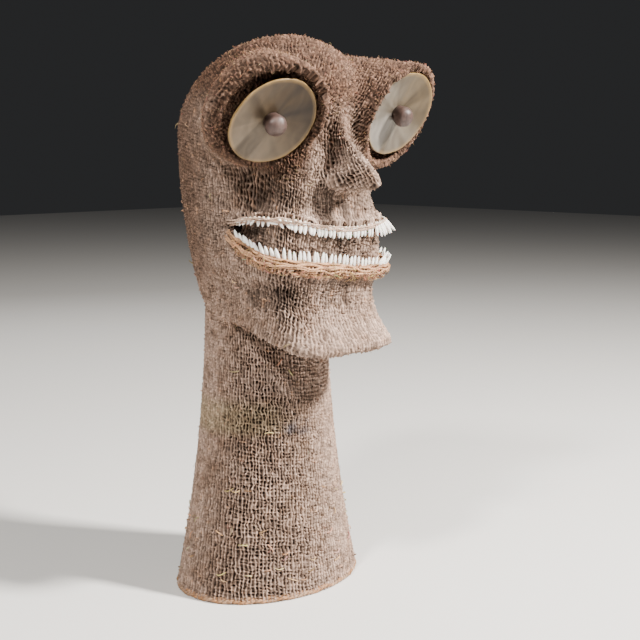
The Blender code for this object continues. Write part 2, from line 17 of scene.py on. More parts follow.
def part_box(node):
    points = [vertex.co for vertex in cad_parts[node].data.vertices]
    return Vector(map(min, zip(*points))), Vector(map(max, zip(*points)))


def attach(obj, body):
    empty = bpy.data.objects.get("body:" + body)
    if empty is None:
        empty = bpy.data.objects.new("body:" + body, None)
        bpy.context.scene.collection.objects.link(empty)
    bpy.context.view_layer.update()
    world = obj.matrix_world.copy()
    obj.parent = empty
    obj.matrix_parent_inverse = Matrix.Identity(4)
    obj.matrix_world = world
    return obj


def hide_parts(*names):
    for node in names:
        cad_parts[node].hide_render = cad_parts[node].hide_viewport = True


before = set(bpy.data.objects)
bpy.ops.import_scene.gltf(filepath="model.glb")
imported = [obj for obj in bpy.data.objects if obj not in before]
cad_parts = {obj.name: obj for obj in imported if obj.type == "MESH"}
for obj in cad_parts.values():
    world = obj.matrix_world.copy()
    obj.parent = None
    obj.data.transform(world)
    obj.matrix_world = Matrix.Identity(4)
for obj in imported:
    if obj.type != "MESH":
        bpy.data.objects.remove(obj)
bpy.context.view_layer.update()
RANDOM = np.random.default_rng(7)

# Where the neck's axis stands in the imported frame.
TEETH_LOW, TEETH_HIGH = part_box("lower_teeth")
MOUTH_FRONT = 0.105
TOOTH_SETBACK = 0.0004
AXIS_X = (TEETH_LOW[0] + TEETH_HIGH[0]) / 2
AXIS_Y = TEETH_LOW[1] + MOUTH_FRONT - TOOTH_SETBACK

# Mouth, as in the solids: a boxy half oval in plan.
MOUTH_HALF_WIDTH = 0.078
MOUTH_BACK = 0.020
MOUTH_REACH = 0.133
MOUTH_POWER = 5.5
UPPER_LIP_CENTRE = 0.3625
UPPER_LIP_RISE = 0.0090
UPPER_LIP_PEAK = 0.095
UPPER_LIP_LEAN = 0.0030
LOWER_LIP_CENTRE = 0.3266
LOWER_LIP_RISE = 0.034
LOWER_LIP_POWER = 3.3
LOWER_LIP_LEAN = 0.0050

# Eyes, as in the solids.
EYE_HALF_SPACING = 0.084
EYE_FORWARD = 0.103
EYE_HEIGHT = 0.464
EYE_TILT = math.radians(30.5)
EYE_TILT_LEAN = math.radians(4.0)
EYE_SPLAY = math.radians(6.0)
EYE_SPLAY_LEAN = math.radians(3.0)
FACE_LEAN = 0.060
SHELL_RADIUS = 0.0432
SHELL_EGG = 0.035
SHELL_DISH = 0.0045
SHELL_THICKNESS = 0.0024
SHELL_CLEARANCE = 0.0003
PEG_RADIUS = 0.0034
PEG_LENGTH = 0.014
PUPIL_RADIUS = 0.0100
PUPIL_HEIGHT = 0.0172

# Lips and tooth bindings, as in the solids.
UPPER_LIP_RADIUS = 0.0042
UPPER_LIP_OFF_ROOT = 0.0020
UPPER_LIP_INWARD = 0.0015
LOWER_LIP_RADIUS = 0.0056
LOWER_LIP_OFF_ROOT = 0.0040
BINDING_DEPTH = 0.0032

# Net: cells of a knotted net, each a small height field between four cords.
CELL = 0.0036
GRAIN = 0.0030
GRAIN_ROUNDS = 6
FINE_GRAIN = 0.0016
FINE_ROUNDS = 5
RELAX_ROUNDS = 3
WORK_SCALE = 100.0
SKIRT = 0.012
STEPS = 3
CORD_SHARE = 0.30
CORD_RISE = 0.00085
CROSS_RISE = 0.00010
CORD_SPREAD = 0.00016
KNOT_RISE = 0.00125
KNOT_SPREAD = 0.00048
HOLE_DEPTH = 0.0029
SLACK_SHARE = 0.30
SLACK_DROP = 0.0014
SLACK_SHADE = 0.55

# How far the knots stray from an even grid, as shares of a cell, and how wide such a drift runs.
STRAY = 0.17
DRIFT = 0.40
DRIFT_SIZE = 0.011
DRIFT_SEEDS = (21, 22, 23)

# Openings: their usual depth, how it varies, and how far the chin's are closed.
OPEN_MEAN = 0.84
OPEN_FACE = 0.26
OPEN_SPREAD = 0.32
OPEN_PATCH = 0.14
OPEN_PATCH_SIZE = 0.028
OPEN_LIMITS = (0.10, 1.35)
OPEN_CHIN = 0.62
PIT_MEAN = 0.85
PIT_SPREAD = 0.22
TUFT_RISE = 0.00060

# Where the form's regions start and are complete.
HOOD_REACH = (0.052, 0.068)
HOOD_BACK = (-0.062, -0.036)
CROWN_HEIGHT = (0.465, 0.500)
CROWN_SLOPE = 0.12
BRIDGE_HALF_WIDTH = (0.016, 0.028)
BRIDGE_HEIGHT = (0.425, 0.452)
BRIDGE_FORWARD = (0.05, 0.07)
BRIDGE_SHARE = 0.6
CHIN_HEIGHT = (0.262, 0.285)
CHIN_FORWARD = (0.070, 0.095)
FACE_HEIGHT = (0.24, 0.30)
MOUTH_HEIGHTS = (0.29, 0.40)

# Colours of the net, and the heights at which its stains begin and end. The darkest tint is painted shade
# for the net's openings and sunken cords.
CORD_TINT = np.array([0.235, 0.150, 0.106])
PALE_TINT = np.array([0.430, 0.305, 0.240])
RED_TINT = np.array([0.118, 0.063, 0.040])
PAINTED_SHADE_TINT = np.array([0.014, 0.007, 0.005])
OLIVE_TINT = np.array([0.330, 0.270, 0.150])
BLUE_TINT = np.array([0.090, 0.090, 0.110])
PINK_TINT = np.array([0.560, 0.410, 0.330])
ORANGE_TINT = np.array([0.500, 0.280, 0.160])
OLIVE_START = (0.156, 0.168)
OLIVE_END = (0.184, 0.202)
STAIN_START = (0.157, 0.163)
STAIN_END = (0.170, 0.178)
STAIN_X = -0.015
STAIN_HALF_WIDTH = (0.008, 0.022)
NET_BANDS = (
    ("neck_net", -1.0, 0.215),
    ("jaw_net", 0.215, 0.345),
    ("face_net", 0.345, 0.445),
    ("crown_net", 0.445, 9.0),
)


def at(x, forward, height):
    return Vector((AXIS_X + x, AXIS_Y - forward, height))


def smoothstep(low, high, value):
    share = np.clip((value - low) / (high - low), 0.0, 1.0)
    return share * share * (3 - 2 * share)


def link(thing):
    bpy.context.scene.collection.objects.link(thing)
    return thing


def mesh_object(name, verts, faces):
    mesh = bpy.data.meshes.new(name)
    mesh.from_pydata([tuple(v) for v in verts], [], [tuple(f) for f in faces])
    mesh.update()
    return link(bpy.data.objects.new(name, mesh))


def smooth(thing):
    thing.data.polygons.foreach_set("use_smooth", [True] * len(thing.data.polygons))
    thing.data.update()


def points_of(mesh):
    flat = np.empty(len(mesh.vertices) * 3, np.float32)
    mesh.vertices.foreach_get("co", flat)
    return flat.reshape(-1, 3).astype(float)


def normals_of(mesh):
    flat = np.empty(len(mesh.vertices) * 3, np.float32)
    mesh.vertex_normals.foreach_get("vector", flat)
    return flat.reshape(-1, 3).astype(float)


def applied(thing):
    """Replaces the object's mesh by what its modifiers make of it."""
    graph = bpy.context.evaluated_depsgraph_get()
    mesh = bpy.data.meshes.new_from_object(thing.evaluated_get(graph))
    thing.modifiers.clear()
    old, thing.data = thing.data, mesh
    bpy.data.meshes.remove(old)


def painted(name, verts, faces, layer, colours, material):
    """A smooth object with one colour for each point, for its material to read."""
    thing = mesh_object(name, verts, faces)
    stored = thing.data.color_attributes.new(layer, "FLOAT_COLOR", "POINT")
    flat = np.ones((len(thing.data.vertices), 4), np.float32)
    flat[:, :3] = colours
    stored.data.foreach_set("color", flat.ravel())
    smooth(thing)
    thing.data.materials.append(material)
    return thing


# The skin that the net lies on


def islands(tools):
    """Groups of vertices that are joined by edges."""
    left = set(tools.verts)
    groups = []
    while left:
        group = set()
        front = [left.pop()]
        while front:
            vert = front.pop()
            group.add(vert)
            for edge in vert.link_edges:
                other = edge.other_vert(vert)
                if other in left:
                    left.remove(other)
                    front.append(other)
        groups.append(group)
    return groups


def split_wall():
    """The outer face of the basket's wall, closed and carried below the foot, and its inner face."""
    made = []
    for wanted in (0, 1):
        tools = bmesh.new()
        tools.from_mesh(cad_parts["wicker_body"].data)
        bmesh.ops.remove_doubles(tools, verts=tools.verts, dist=1e-6)
        foot = [f for f in tools.faces if all(abs(v.co.z) < 1e-5 for v in f.verts)]
        bmesh.ops.delete(tools, geom=foot, context="FACES")
        groups = sorted(islands(tools), key=lambda g: max(v.co.x for v in g), reverse=True)
        spare = [v for i, g in enumerate(groups) if i != wanted for v in g]
        bmesh.ops.delete(tools, geom=spare, context="VERTS")
        if wanted == 0:
            rim = [edge for edge in tools.edges if edge.is_boundary]
            grown = bmesh.ops.extrude_edge_only(tools, edges=rim)["geom"]
            low = [v for v in grown if isinstance(v, bmesh.types.BMVert)]
            bmesh.ops.translate(tools, verts=low, vec=(0, 0, -SKIRT))
            bmesh.ops.holes_fill(tools, edges=[e for e in tools.edges if e.is_boundary])
            bmesh.ops.recalc_face_normals(tools, faces=tools.faces)
        mesh = bpy.data.meshes.new("wall")
        tools.to_mesh(mesh)
        tools.free()
        made.append(mesh)
    return made


def evened(mesh, grain, rounds):
    """An even copy of a closed mesh with its facets melted away, in working units."""
    thing = link(bpy.data.objects.new("skin", mesh.copy()))
    thing.data.transform(Matrix.Scale(WORK_SCALE, 4))
    remesh = thing.modifiers.new("even", "REMESH")
    remesh.mode = "VOXEL"
    remesh.voxel_size = grain * WORK_SCALE
    soften = thing.modifiers.new("soften", "SMOOTH")
    soften.factor = 0.5
    soften.iterations = rounds
    applied(thing)
    return thing


def project(thing, target):
    wrap = thing.modifiers.new("wrap", "SHRINKWRAP")
    wrap.target = target
    wrap.wrap_method = "NEAREST_SURFACEPOINT"
    applied(thing)


def net_cells(outer, target):
    """A mesh of quads that run with the form, one for each opening of the net."""
    cells = evened(outer, GRAIN, GRAIN_ROUNDS)
    area = sum(face.area for face in cells.data.polygons)
    count = int(area / (2 * CELL * WORK_SCALE) ** 2)
    for thing in bpy.context.selected_objects:
        thing.select_set(False)
    bpy.context.view_layer.objects.active = cells
    cells.select_set(True)
    bpy.ops.object.quadriflow_remesh(mode="FACES", target_faces=count, seed=0)
    split = cells.modifiers.new("split", "SUBSURF")
    split.subdivision_type = "SIMPLE"
    split.levels = split.render_levels = 1
    relax = cells.modifiers.new("relax", "SMOOTH")
    relax.factor = 0.5
    relax.iterations = RELAX_ROUNDS
    project(cells, target)
    return cells


def orient(points, quads):
    """Turns each quad so that its first and third edges run most nearly upright."""
    ends = points[quads]
    rises = np.abs(ends[:, [1, 2, 3, 0], 2] - ends[:, :, 2])
    turn = (rises[:, 1] + rises[:, 3]) > (rises[:, 0] + rises[:, 2])
    quads = quads.copy()
    quads[turn] = np.roll(quads[turn], -1, axis=1)
    return quads


def fine_grid(points, quads):
    """Splits each quad into STEPS by STEPS: new points, faces, edges and each quad's own points."""
    count = len(points)
    pairs = np.stack([quads, np.roll(quads, -1, axis=1)], axis=2).reshape(-1, 2)
    ordered = np.sort(pairs, axis=1)
    edges, which = np.unique(ordered, axis=0, return_inverse=True)
    which = which.reshape(-1, 4)
    inner = STEPS - 1
    shares = np.array([CORD_SHARE, 1 - CORD_SHARE])
    first, last = points[edges[:, 0]], points[edges[:, 1]]
    on_edges = first[:, None] + shares[None, :, None] * (last - first)[:, None]
    corners = points[quads]
    s, t = np.meshgrid(shares, shares, indexing="ij")
    weights = np.stack([(1 - s) * (1 - t), s * (1 - t), s * t, (1 - s) * t], axis=-1)
    inside = np.einsum("abk,nkc->nabc", weights, corners)
    every = np.concatenate([points, on_edges.reshape(-1, 3), inside.reshape(-1, 3)])
    edge_start = count
    face_start = count + len(edges) * inner
    grid = np.empty((len(quads), STEPS + 1, STEPS + 1), np.int64)
    grid[:, 0, 0], grid[:, -1, 0] = quads[:, 0], quads[:, 1]
    grid[:, -1, -1], grid[:, 0, -1] = quads[:, 2], quads[:, 3]
    numbers = np.arange(inner)
    for side in range(4):
        forward = quads[:, side] == edges[which[:, side], 0]
        along = np.where(forward[:, None], numbers[None], numbers[None, ::-1])
        along = edge_start + which[:, side][:, None] * inner + along
        if side == 0:
            grid[:, 1:-1, 0] = along
        elif side == 1:
            grid[:, -1, 1:-1] = along
        elif side == 2:
            grid[:, 1:-1, -1] = along[:, ::-1]
        else:
            grid[:, 0, 1:-1] = along[:, ::-1]
    grid[:, 1:-1, 1:-1] = face_start + np.arange(len(quads) * inner**2).reshape(-1, inner, inner)
    faces = np.stack([grid[:, :-1, :-1], grid[:, 1:, :-1], grid[:, 1:, 1:], grid[:, :-1, 1:]], axis=-1)
    return every, faces.reshape(len(quads), -1, 4), edges, grid


def eye_frame(side):
    """Matrix of one eye: its z axis looks out along the disc's normal, its y axis up the disc."""
    tilt = EYE_TILT - side * EYE_TILT_LEAN
    splay = side * EYE_SPLAY - EYE_SPLAY_LEAN
    level = math.cos(tilt)
    look = Vector((level * math.sin(splay), -level * math.cos(splay), -math.sin(tilt)))
    across = Vector((0, 0, 1)).cross(look).normalized()
    turned = Matrix((across, look.cross(across), look)).transposed().to_4x4()
    height = EYE_HEIGHT + side * FACE_LEAN * EYE_HALF_SPACING
    return Matrix.Translation(at(side * EYE_HALF_SPACING, EYE_FORWARD, height)) @ turned


def cloud(points, size, seed, octaves=3):
    """Soft noise at each point, about -1 to 1."""
    shift = Vector((seed * 17.3, seed * 5.1, seed * 9.7))
    found = [noise.fractal(Vector(p) / size + shift, 0.8, 2.1, octaves) for p in points]
    return np.array(found)


def in_form(points):
    """Points as (x, forward, height) from the neck's axis."""
    return np.stack([points[:, 0] - AXIS_X, AXIS_Y - points[:, 1], points[:, 2]], axis=1)


def mouth_table(count=721):
    """Plan points of the mouth's path, with the distance of each from the middle of the front."""
    turns = np.linspace(-math.pi / 2, math.pi / 2, count)
    side = np.sign(np.sin(turns)) * np.abs(np.sin(turns)) ** (2 / MOUTH_POWER)
    ahead = np.abs(np.cos(turns)) ** (2 / MOUTH_POWER)
    plan = np.stack([MOUTH_HALF_WIDTH * side, MOUTH_BACK + (MOUTH_FRONT - MOUTH_BACK) * ahead], 1)
    walked = np.concatenate([[0], np.cumsum(np.linalg.norm(np.diff(plan, axis=0), axis=1))])
    return plan, walked - walked[count // 2]


MOUTH_PLAN, MOUTH_WALK = mouth_table()


def mouth_frame(walk):
    """Plan point, outward direction and onward direction of the mouth's path."""
    x, forward = (np.interp(walk, MOUTH_WALK, MOUTH_PLAN[:, i]) for i in (0, 1))
    ahead, behind = (
        np.array([np.interp(walk + d, MOUTH_WALK, MOUTH_PLAN[:, i]) for i in (0, 1)])
        for d in (0.002, -0.002)
    )
    along = (ahead - behind) / np.linalg.norm(ahead - behind)
    return np.array([x, forward]), np.array([-along[1], along[0]]), along


def mouth_lean(walk):
    """The mouth sits a little askew: higher on the figure's right than on its left."""
    return -np.sin(math.pi * walk / MOUTH_REACH)


def upper_root(walk):
    wave = np.sin(math.pi / 2 * walk / UPPER_LIP_PEAK) ** 2
    return UPPER_LIP_CENTRE + UPPER_LIP_RISE * wave + UPPER_LIP_LEAN * mouth_lean(walk)


def lower_root(walk):
    rise = LOWER_LIP_RISE * (np.abs(walk) / MOUTH_REACH) ** LOWER_LIP_POWER
    return LOWER_LIP_CENTRE + rise + LOWER_LIP_LEAN * mouth_lean(walk)


def mouth_point(walk, outward, height):
    plan, out, _ = mouth_frame(walk)
    return at(*(plan + outward * out), height)


def near_mouth(points):
    """For each point: its place along the mouth, and how far outward of the mouth's path it lies."""
    spots = in_form(points)[:, :2]
    samples = MOUTH_PLAN[::6]
    walks = MOUTH_WALK[::6]
    walk = np.zeros(len(points))
    outward = np.full(len(points), -1.0)
    low, high = MOUTH_HEIGHTS
    close = np.nonzero((spots[:, 1] > 0.0) & (points[:, 2] > low) & (points[:, 2] < high))[0]
    for part in np.array_split(close, max(len(close) // 4000, 1)):
        away = np.linalg.norm(spots[part, None] - samples[None], axis=2)
        nearest = away.argmin(axis=1)
        walk[part] = walks[nearest]
        far = np.linalg.norm(spots[part] - [0, MOUTH_BACK], axis=1)
        path = np.linalg.norm(samples[nearest] - [0, MOUTH_BACK], axis=1)
        outward[part] = away.min(axis=1) * np.where(far > path, 1, -1)
    return walk, outward


def regions(points):
    """How far each point lies in the tufted crown, hoods and bridge, and in the chin, 0 to 1."""
    x, forward, height = in_form(points).T
    near_eye = np.zeros(len(points))
    for side in (-1, 1):
        inverse = np.array(eye_frame(side).inverted())
        local = points @ inverse[:3, :3].T + inverse[:3, 3]
        away = np.hypot(local[:, 0], local[:, 1])
        near = 1 - smoothstep(*HOOD_REACH, away)
        near_eye = np.maximum(near_eye, near * smoothstep(*HOOD_BACK, local[:, 2]))
    crown = smoothstep(*CROWN_HEIGHT, height + CROWN_SLOPE * forward)
    bridge = (1 - smoothstep(*BRIDGE_HALF_WIDTH, np.abs(x))) * smoothstep(*BRIDGE_HEIGHT, height)
    bridge *= BRIDGE_SHARE * smoothstep(*BRIDGE_FORWARD, forward)
    tufted = np.maximum(np.maximum(crown, near_eye), bridge)
    chin = 1 - smoothstep(*CHIN_HEIGHT, height + 0.1 * (0.12 - forward))
    chin *= smoothstep(*CHIN_FORWARD, forward)
    return tufted, chin


def build_net(outer):
    """The net: cords along the cells' edges, knots at their corners and a pit in each opening."""
    target = evened(outer, FINE_GRAIN, FINE_ROUNDS)
    cells = net_cells(outer, target)
    quads = np.array([tuple(face.vertices) for face in cells.data.polygons])
    coarse = points_of(cells.data)
    quads = orient(coarse, quads)
    drift = [cloud(coarse / WORK_SCALE, DRIFT_SIZE, seed, 2) for seed in DRIFT_SEEDS]
    stray = np.stack(drift, axis=1) * DRIFT + RANDOM.normal(0.0, STRAY, coarse.shape)
    points, faces, edges, grid = fine_grid(coarse + stray * CELL * WORK_SCALE, quads)
    net = mesh_object("net", points, faces.reshape(-1, 4))
    project(net, target)
    points, normals = points_of(net.data), normals_of(net.data)
    points /= WORK_SCALE
    for thing in (target, cells, net):
        bpy.data.objects.remove(thing)

    tufted, chin = regions(points)
    centre = grid[:, STEPS // 2, STEPS // 2]
    patch = cloud(points[centre], OPEN_PATCH_SIZE, 1)
    face = smoothstep(*FACE_HEIGHT, points[centre][:, 2])
    hole = OPEN_MEAN + OPEN_FACE * face + RANDOM.normal(0, OPEN_SPREAD, len(quads)) + OPEN_PATCH * patch
    hole = np.clip(hole, *OPEN_LIMITS)
    hole *= 1 - OPEN_CHIN * chin[centre]
    rise = np.zeros(len(points))
    depth = np.zeros(len(points))

    # Cords: those that run up and down stand higher than the ones between them.
    along = coarse[edges[:, 1]] - coarse[edges[:, 0]]
    upright = np.abs(along[:, 2]) / np.maximum(np.linalg.norm(along, axis=1), 1e-9)
    upright = smoothstep(0.45, 0.80, upright)
    inner = STEPS - 1
    first = len(coarse)
    swing = RANDOM.normal(0, CORD_SPREAD, (len(edges), inner))
    cord = CROSS_RISE + (CORD_RISE - CROSS_RISE) * upright
    slack = (1 - upright) * (RANDOM.random(len(edges)) < SLACK_SHARE)
    cord -= SLACK_DROP * slack
    rise[first : first + len(edges) * inner] = (cord[:, None] + swing).ravel()
    # Painted shade: slack cords, which sag lower, are painted darker by SLACK_SHADE.
    depth[first : first + len(edges) * inner] = np.repeat(SLACK_SHADE * slack, inner)
    rise[:first] = KNOT_RISE + RANDOM.normal(0, KNOT_SPREAD, first)

    # Every stitch has a shade of its own, which its cords share.
    stitch = np.zeros(len(points))
    stitch[:first] = RANDOM.normal(0, 1, first)
    shared = stitch[edges].mean(axis=1) + RANDOM.normal(0, 0.5, len(edges))
    stitch[first : first + len(edges) * inner] = np.repeat(shared, inner)

    # Openings: deepest in the middle, with room left for the cords' thickness beside them. Their depth
    # also sets how dark they are painted: painted shade.
    lean = RANDOM.normal(0, PIT_SPREAD, (len(quads), inner, inner))
    pits = hole[:, None, None] * (PIT_MEAN + lean)
    inside = grid[:, 1:-1, 1:-1].reshape(-1)
    depth[inside] = pits.reshape(-1)
    rise[inside] = -HOLE_DEPTH * pits.reshape(-1)

    # Over the crown and hoods the cords lie packed under short tufts, with small irregular gaps. The gaps,
    # lying lower, are painted darker: painted shade.
    rough = RANDOM.normal(0, 1.0, len(points))
    packed = 0.50 * rise + TUFT_RISE * rough
    rise = rise + tufted * (packed - rise)
    depth = depth + tufted * (0.35 * depth + 0.30 * np.clip(-rough, 0, 1.5) - depth)

    skin = points + normals * rise[:, None]
    return skin, faces, quads, points, depth, rise, tufted, stitch, rough


def net_colours(points, depth, rise, tufted, stitch, rough):
    """Colour of each point of the net: dry cord and its stains, with painted shade in its openings, on
    slack cords, in the mouth's recess and on the back of the head's right side, painted highlight on
    raised cords and knots, and a paler neck that is partly painted light.
    """
    x, forward, height = in_form(points).T
    wide = cloud(points, 0.050, 3)
    fine = cloud(points, 0.009, 4, 2)
    front = smoothstep(-0.02, 0.08, forward) * smoothstep(0.235, 0.26, height)
    # The neck is painted paler: partly its paler cord, partly painted light.
    neck = 1 - smoothstep(0.20, 0.30, height)
    tone = np.clip(0.36 + 0.35 * wide + 0.55 * fine + 0.30 * front + 0.22 * neck, 0, 1)[:, None]
    colours = CORD_TINT + (PALE_TINT - CORD_TINT) * tone
    back = smoothstep(0.02, -0.03, forward) * smoothstep(0.27, 0.33, height)
    reddish = np.clip(np.maximum(0.90 * tufted, 0.60 * back) + 0.15 * fine, 0, 1)[:, None]
    # Painted highlight and shade: the crown's red is lighter on raised tufts and darker on sunken ones.
    colours += (RED_TINT * (1 + 0.25 * rough[:, None] * tufted[:, None]) - colours) * reddish
    # Painted shade: the net on the rear half of the head's right side is darkened by 30%.
    side = smoothstep(-0.02, -0.07, x) * smoothstep(0.06, 0.0, forward)
    side *= smoothstep(0.30, 0.36, height)
    colours *= 1 - 0.30 * side[:, None]
    walk, outward = near_mouth(points)
    within = 1 - smoothstep(0.116, 0.128, np.abs(walk))
    # Painted shade: the net inside the mouth's recess, behind the lips, is darkened by up to 45%.
    recess_shade = within * (outward > -0.5) * smoothstep(-0.004, -0.010, outward)
    colours *= 1 - 0.45 * recess_shade[:, None]
    above = height - upper_root(walk)
    below = height - lower_root(walk)
    upper = smoothstep(-0.006, -0.002, outward) * smoothstep(-0.005, -0.002, above)
    upper *= within * (1 - smoothstep(0.006, 0.016, above))
    colours += (PINK_TINT - colours) * (0.65 * upper)[:, None]
    lower = smoothstep(-0.006, -0.002, outward) * smoothstep(-0.014, -0.009, below)
    lower *= within * (1 - smoothstep(0.001, 0.004, below))
    colours += (ORANGE_TINT * (1 + 0.4 * fine[:, None]) - colours) * (0.60 * lower)[:, None]
    band = smoothstep(*OLIVE_START, height) * (1 - smoothstep(*OLIVE_END, height))
    band *= smoothstep(0.015, -0.030, x + 0.5 * forward + 0.014 * wide + 0.006 * fine)
    colours += (OLIVE_TINT - colours) * (0.45 * band * (1 + 0.3 * fine))[:, None]
    stain = smoothstep(*STAIN_START, height) * (1 - smoothstep(*STAIN_END, height))
    stain *= (1 - smoothstep(*STAIN_HALF_WIDTH, np.abs(x - STAIN_X))) * (forward > 0)
    stain *= np.clip(0.6 + 0.8 * fine, 0, 1)
    colours += (BLUE_TINT - colours) * (0.8 * stain)[:, None]
    # Painted highlight and shade: raised knots and cords are painted paler, low points darker.
    crest_highlight = np.clip(rise / KNOT_RISE, 0, 1)[:, None]
    colours *= 0.60 + 0.62 * crest_highlight
    colours *= np.clip(1 + 0.24 * stitch, 0.45, 1.9)[:, None]
    bright = smoothstep(1.7, 2.3, stitch) * (1 - tufted)
    colours += (ORANGE_TINT - colours) * (0.55 * bright)[:, None]
    # Painted shade: the deeper a point lies, the nearer its colour goes to the darkest tint.
    colours += (PAINTED_SHADE_TINT - colours) * np.clip(1.10 * depth, 0, 1)[:, None]
    return np.clip(colours, 0.0, 1.0)


def split_net(skin, faces, quads, colours, material):
    """Parts the net into pieces by height, so that each stays light."""
    middles = skin[quads].mean(axis=1)[:, 2]
    made = []
    for name, low, high in NET_BANDS:
        chosen = faces[(middles >= low) & (middles < high)].reshape(-1, 4)
        used, index = np.unique(chosen, return_inverse=True)
        shapes = index.reshape(-1, 4)
        made.append(painted(name, skin[used], shapes, "net_tint", colours[used], material))
    return made


def trim_foot(piece):
    """Cuts the skirt off level with the ground."""
    tools = bmesh.new()
    tools.from_mesh(piece.data)
    geometry = tools.verts[:] + tools.edges[:] + tools.faces[:]
    bmesh.ops.bisect_plane(
        tools, geom=geometry, plane_co=(0, 0, 0.0008), plane_no=(0, 0, -1), clear_outer=True
    )
    tools.to_mesh(piece.data)
    tools.free()


# Materials


class Material:
    """A material in the making: its nodes, their links and its main shader."""

    def __init__(self, name):
        self.made = bpy.data.materials.new(name)
        self.made.use_nodes = True
        self.nodes, self.links = self.made.node_tree.nodes, self.made.node_tree.links
        self.shader = self.nodes["Principled BSDF"]

    def node(self, kind, **values):
        """Adds a node. Values go to its sockets of that name, or else to its settings."""
        added = self.nodes.new(kind)
        for key, value in values.items():
            if key in added.inputs:
                added.inputs[key].default_value = value
            else:
                setattr(added, key, value)
        return added

    def texture(self, kind, stretch=None, **values):
        """The value of a texture that is read by place on the object."""
        added = self.node("ShaderNodeTex" + kind, **values)
        place = self.node("ShaderNodeTexCoord").outputs["Object"]
        if stretch:
            mapping = self.node("ShaderNodeMapping", Scale=stretch)
            self.links.new(place, mapping.inputs["Vector"])
            place = mapping.outputs["Vector"]
        self.links.new(place, added.inputs["Vector"])
        return added.outputs["Fac"]

    def ranged(self, source, low, high, to_low, to_high):
        limits = {"From Min": low, "From Max": high, "To Min": to_low, "To Max": to_high}
        added = self.node("ShaderNodeMapRange", **limits)
        self.links.new(source, added.inputs["Value"])
        return added.outputs["Result"]

    def combined(self, operation, *sources):
        added = self.node("ShaderNodeMath", operation=operation)
        for socket, source in zip(added.inputs, sources):
            if isinstance(source, float):
                socket.default_value = source
            else:
                self.links.new(source, socket)
        return added.outputs["Value"]

    def tinted(self, layer, factor):
        """Takes the base colour from the mesh's own colours, times a factor."""
        scaled = self.node("ShaderNodeVectorMath", operation="SCALE")
        tint = self.node("ShaderNodeVertexColor", layer_name=layer)
        self.links.new(tint.outputs["Color"], scaled.inputs[0])
        self.links.new(factor, scaled.inputs["Scale"])
        self.links.new(scaled.outputs["Vector"], self.shader.inputs["Base Color"])

    def ramped(self, source, *stops):
        """Takes the base colour from a ramp with two stops, each a position and a colour."""
        ramp = self.node("ShaderNodeValToRGB")
        for element, (position, colour) in zip(ramp.color_ramp.elements, stops):
            element.position = position
            element.color = (*colour, 1)
        self.links.new(source, ramp.inputs["Fac"])
        self.links.new(ramp.outputs["Color"], self.shader.inputs["Base Color"])

    def bumped(self, source, strength, distance):
        bump = self.node("ShaderNodeBump", Strength=strength, Distance=distance)
        self.links.new(source, bump.inputs["Height"])
        self.links.new(bump.outputs["Normal"], self.shader.inputs["Normal"])

    def plain(self, values):
        for key, value in values.items():
            self.shader.inputs[key].default_value = value


def net_material():
    """Dry plant fibre: colour from the net itself, broken up by fine twisted fibres."""
    net = Material("net_cord")
    fibre = net.texture("Noise", Scale=1400.0, Detail=3.0, Roughness=0.6)
    mottle = net.texture("Noise", Scale=260.0, Detail=2.0, Roughness=0.5)
    spread = net.ranged(fibre, 0.3, 0.7, 0.62, 1.40)
    blot = net.ranged(mottle, 0.3, 0.7, 0.78, 1.22)
    net.tinted("net_tint", net.combined("MULTIPLY", spread, blot))
    net.bumped(fibre, 0.55, 0.0006)
    net.plain({"Roughness": 0.92, "Specular IOR Level": 0.18})
    return net.made


outer, inner = split_wall()
NET = net_material()
skin, faces, quads, points, depth, rise, tufted, stitch, rough = build_net(outer)
colours = net_colours(points, depth, rise, tufted, stitch, rough)
net_pieces = split_net(skin, faces, quads, colours, NET)
trim_foot(net_pieces[0])
for piece in net_pieces:
    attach(piece, "root")
    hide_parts("wicker_body")


# Lips and teeth


def evenly(points, spacing, closed):
    """Points at even distances along a path."""
    points = np.array([tuple(p) for p in points])
    if closed:
        points = np.concatenate([points, points[:1]])
    walked = np.concatenate([[0], np.cumsum(np.linalg.norm(np.diff(points, axis=0), axis=1))])
    count = max(int(walked[-1] / spacing), 8)
    marks = np.linspace(0, walked[-1], count, endpoint=not closed)
    return np.stack([np.interp(marks, walked, points[:, i]) for i in range(3)], axis=1)


def twisted_cord(points, radius, turn_length, closed, sides=10, start=0.0):
    """A cord of two plies along a path: its points, its faces and how far each point stands out."""
    count = len(points)
    if closed:
        along = np.roll(points, -1, axis=0) - np.roll(points, 1, axis=0)
    else:
        along = np.gradient(points, axis=0)
    along /= np.linalg.norm(along, axis=1)[:, None]
    side = np.cross(along, [0.0, 0.0, 1.0])
    side /= np.maximum(np.linalg.norm(side, axis=1), 1e-6)[:, None]
    up = np.cross(side, along)
    spacing = np.linalg.norm(points[1] - points[0])
    turns = np.linspace(0, 2 * math.pi, sides, endpoint=False)
    total = spacing * count
    rounds = round(total / turn_length) if closed else total / turn_length
    phase = start + 2 * math.pi * rounds * np.arange(count) / count
    ply = np.abs(np.cos(turns[None] - phase[:, None]))
    reach = radius * (0.70 + 0.34 * ply)
    verts = points[:, None] + reach[:, :, None] * (
        np.cos(turns)[None, :, None] * side[:, None] + np.sin(turns)[None, :, None] * up[:, None]
    )
    rows = np.arange(count * sides).reshape(count, sides)
    low, high = (rows, np.roll(rows, -1, axis=0)) if closed else (rows[:-1], rows[1:])
    faces = np.stack([low, np.roll(low, -1, axis=1), np.roll(high, -1, axis=1), high], axis=-1)
    return verts.reshape(-1, 3), faces.reshape(-1, 4), ply.reshape(-1)


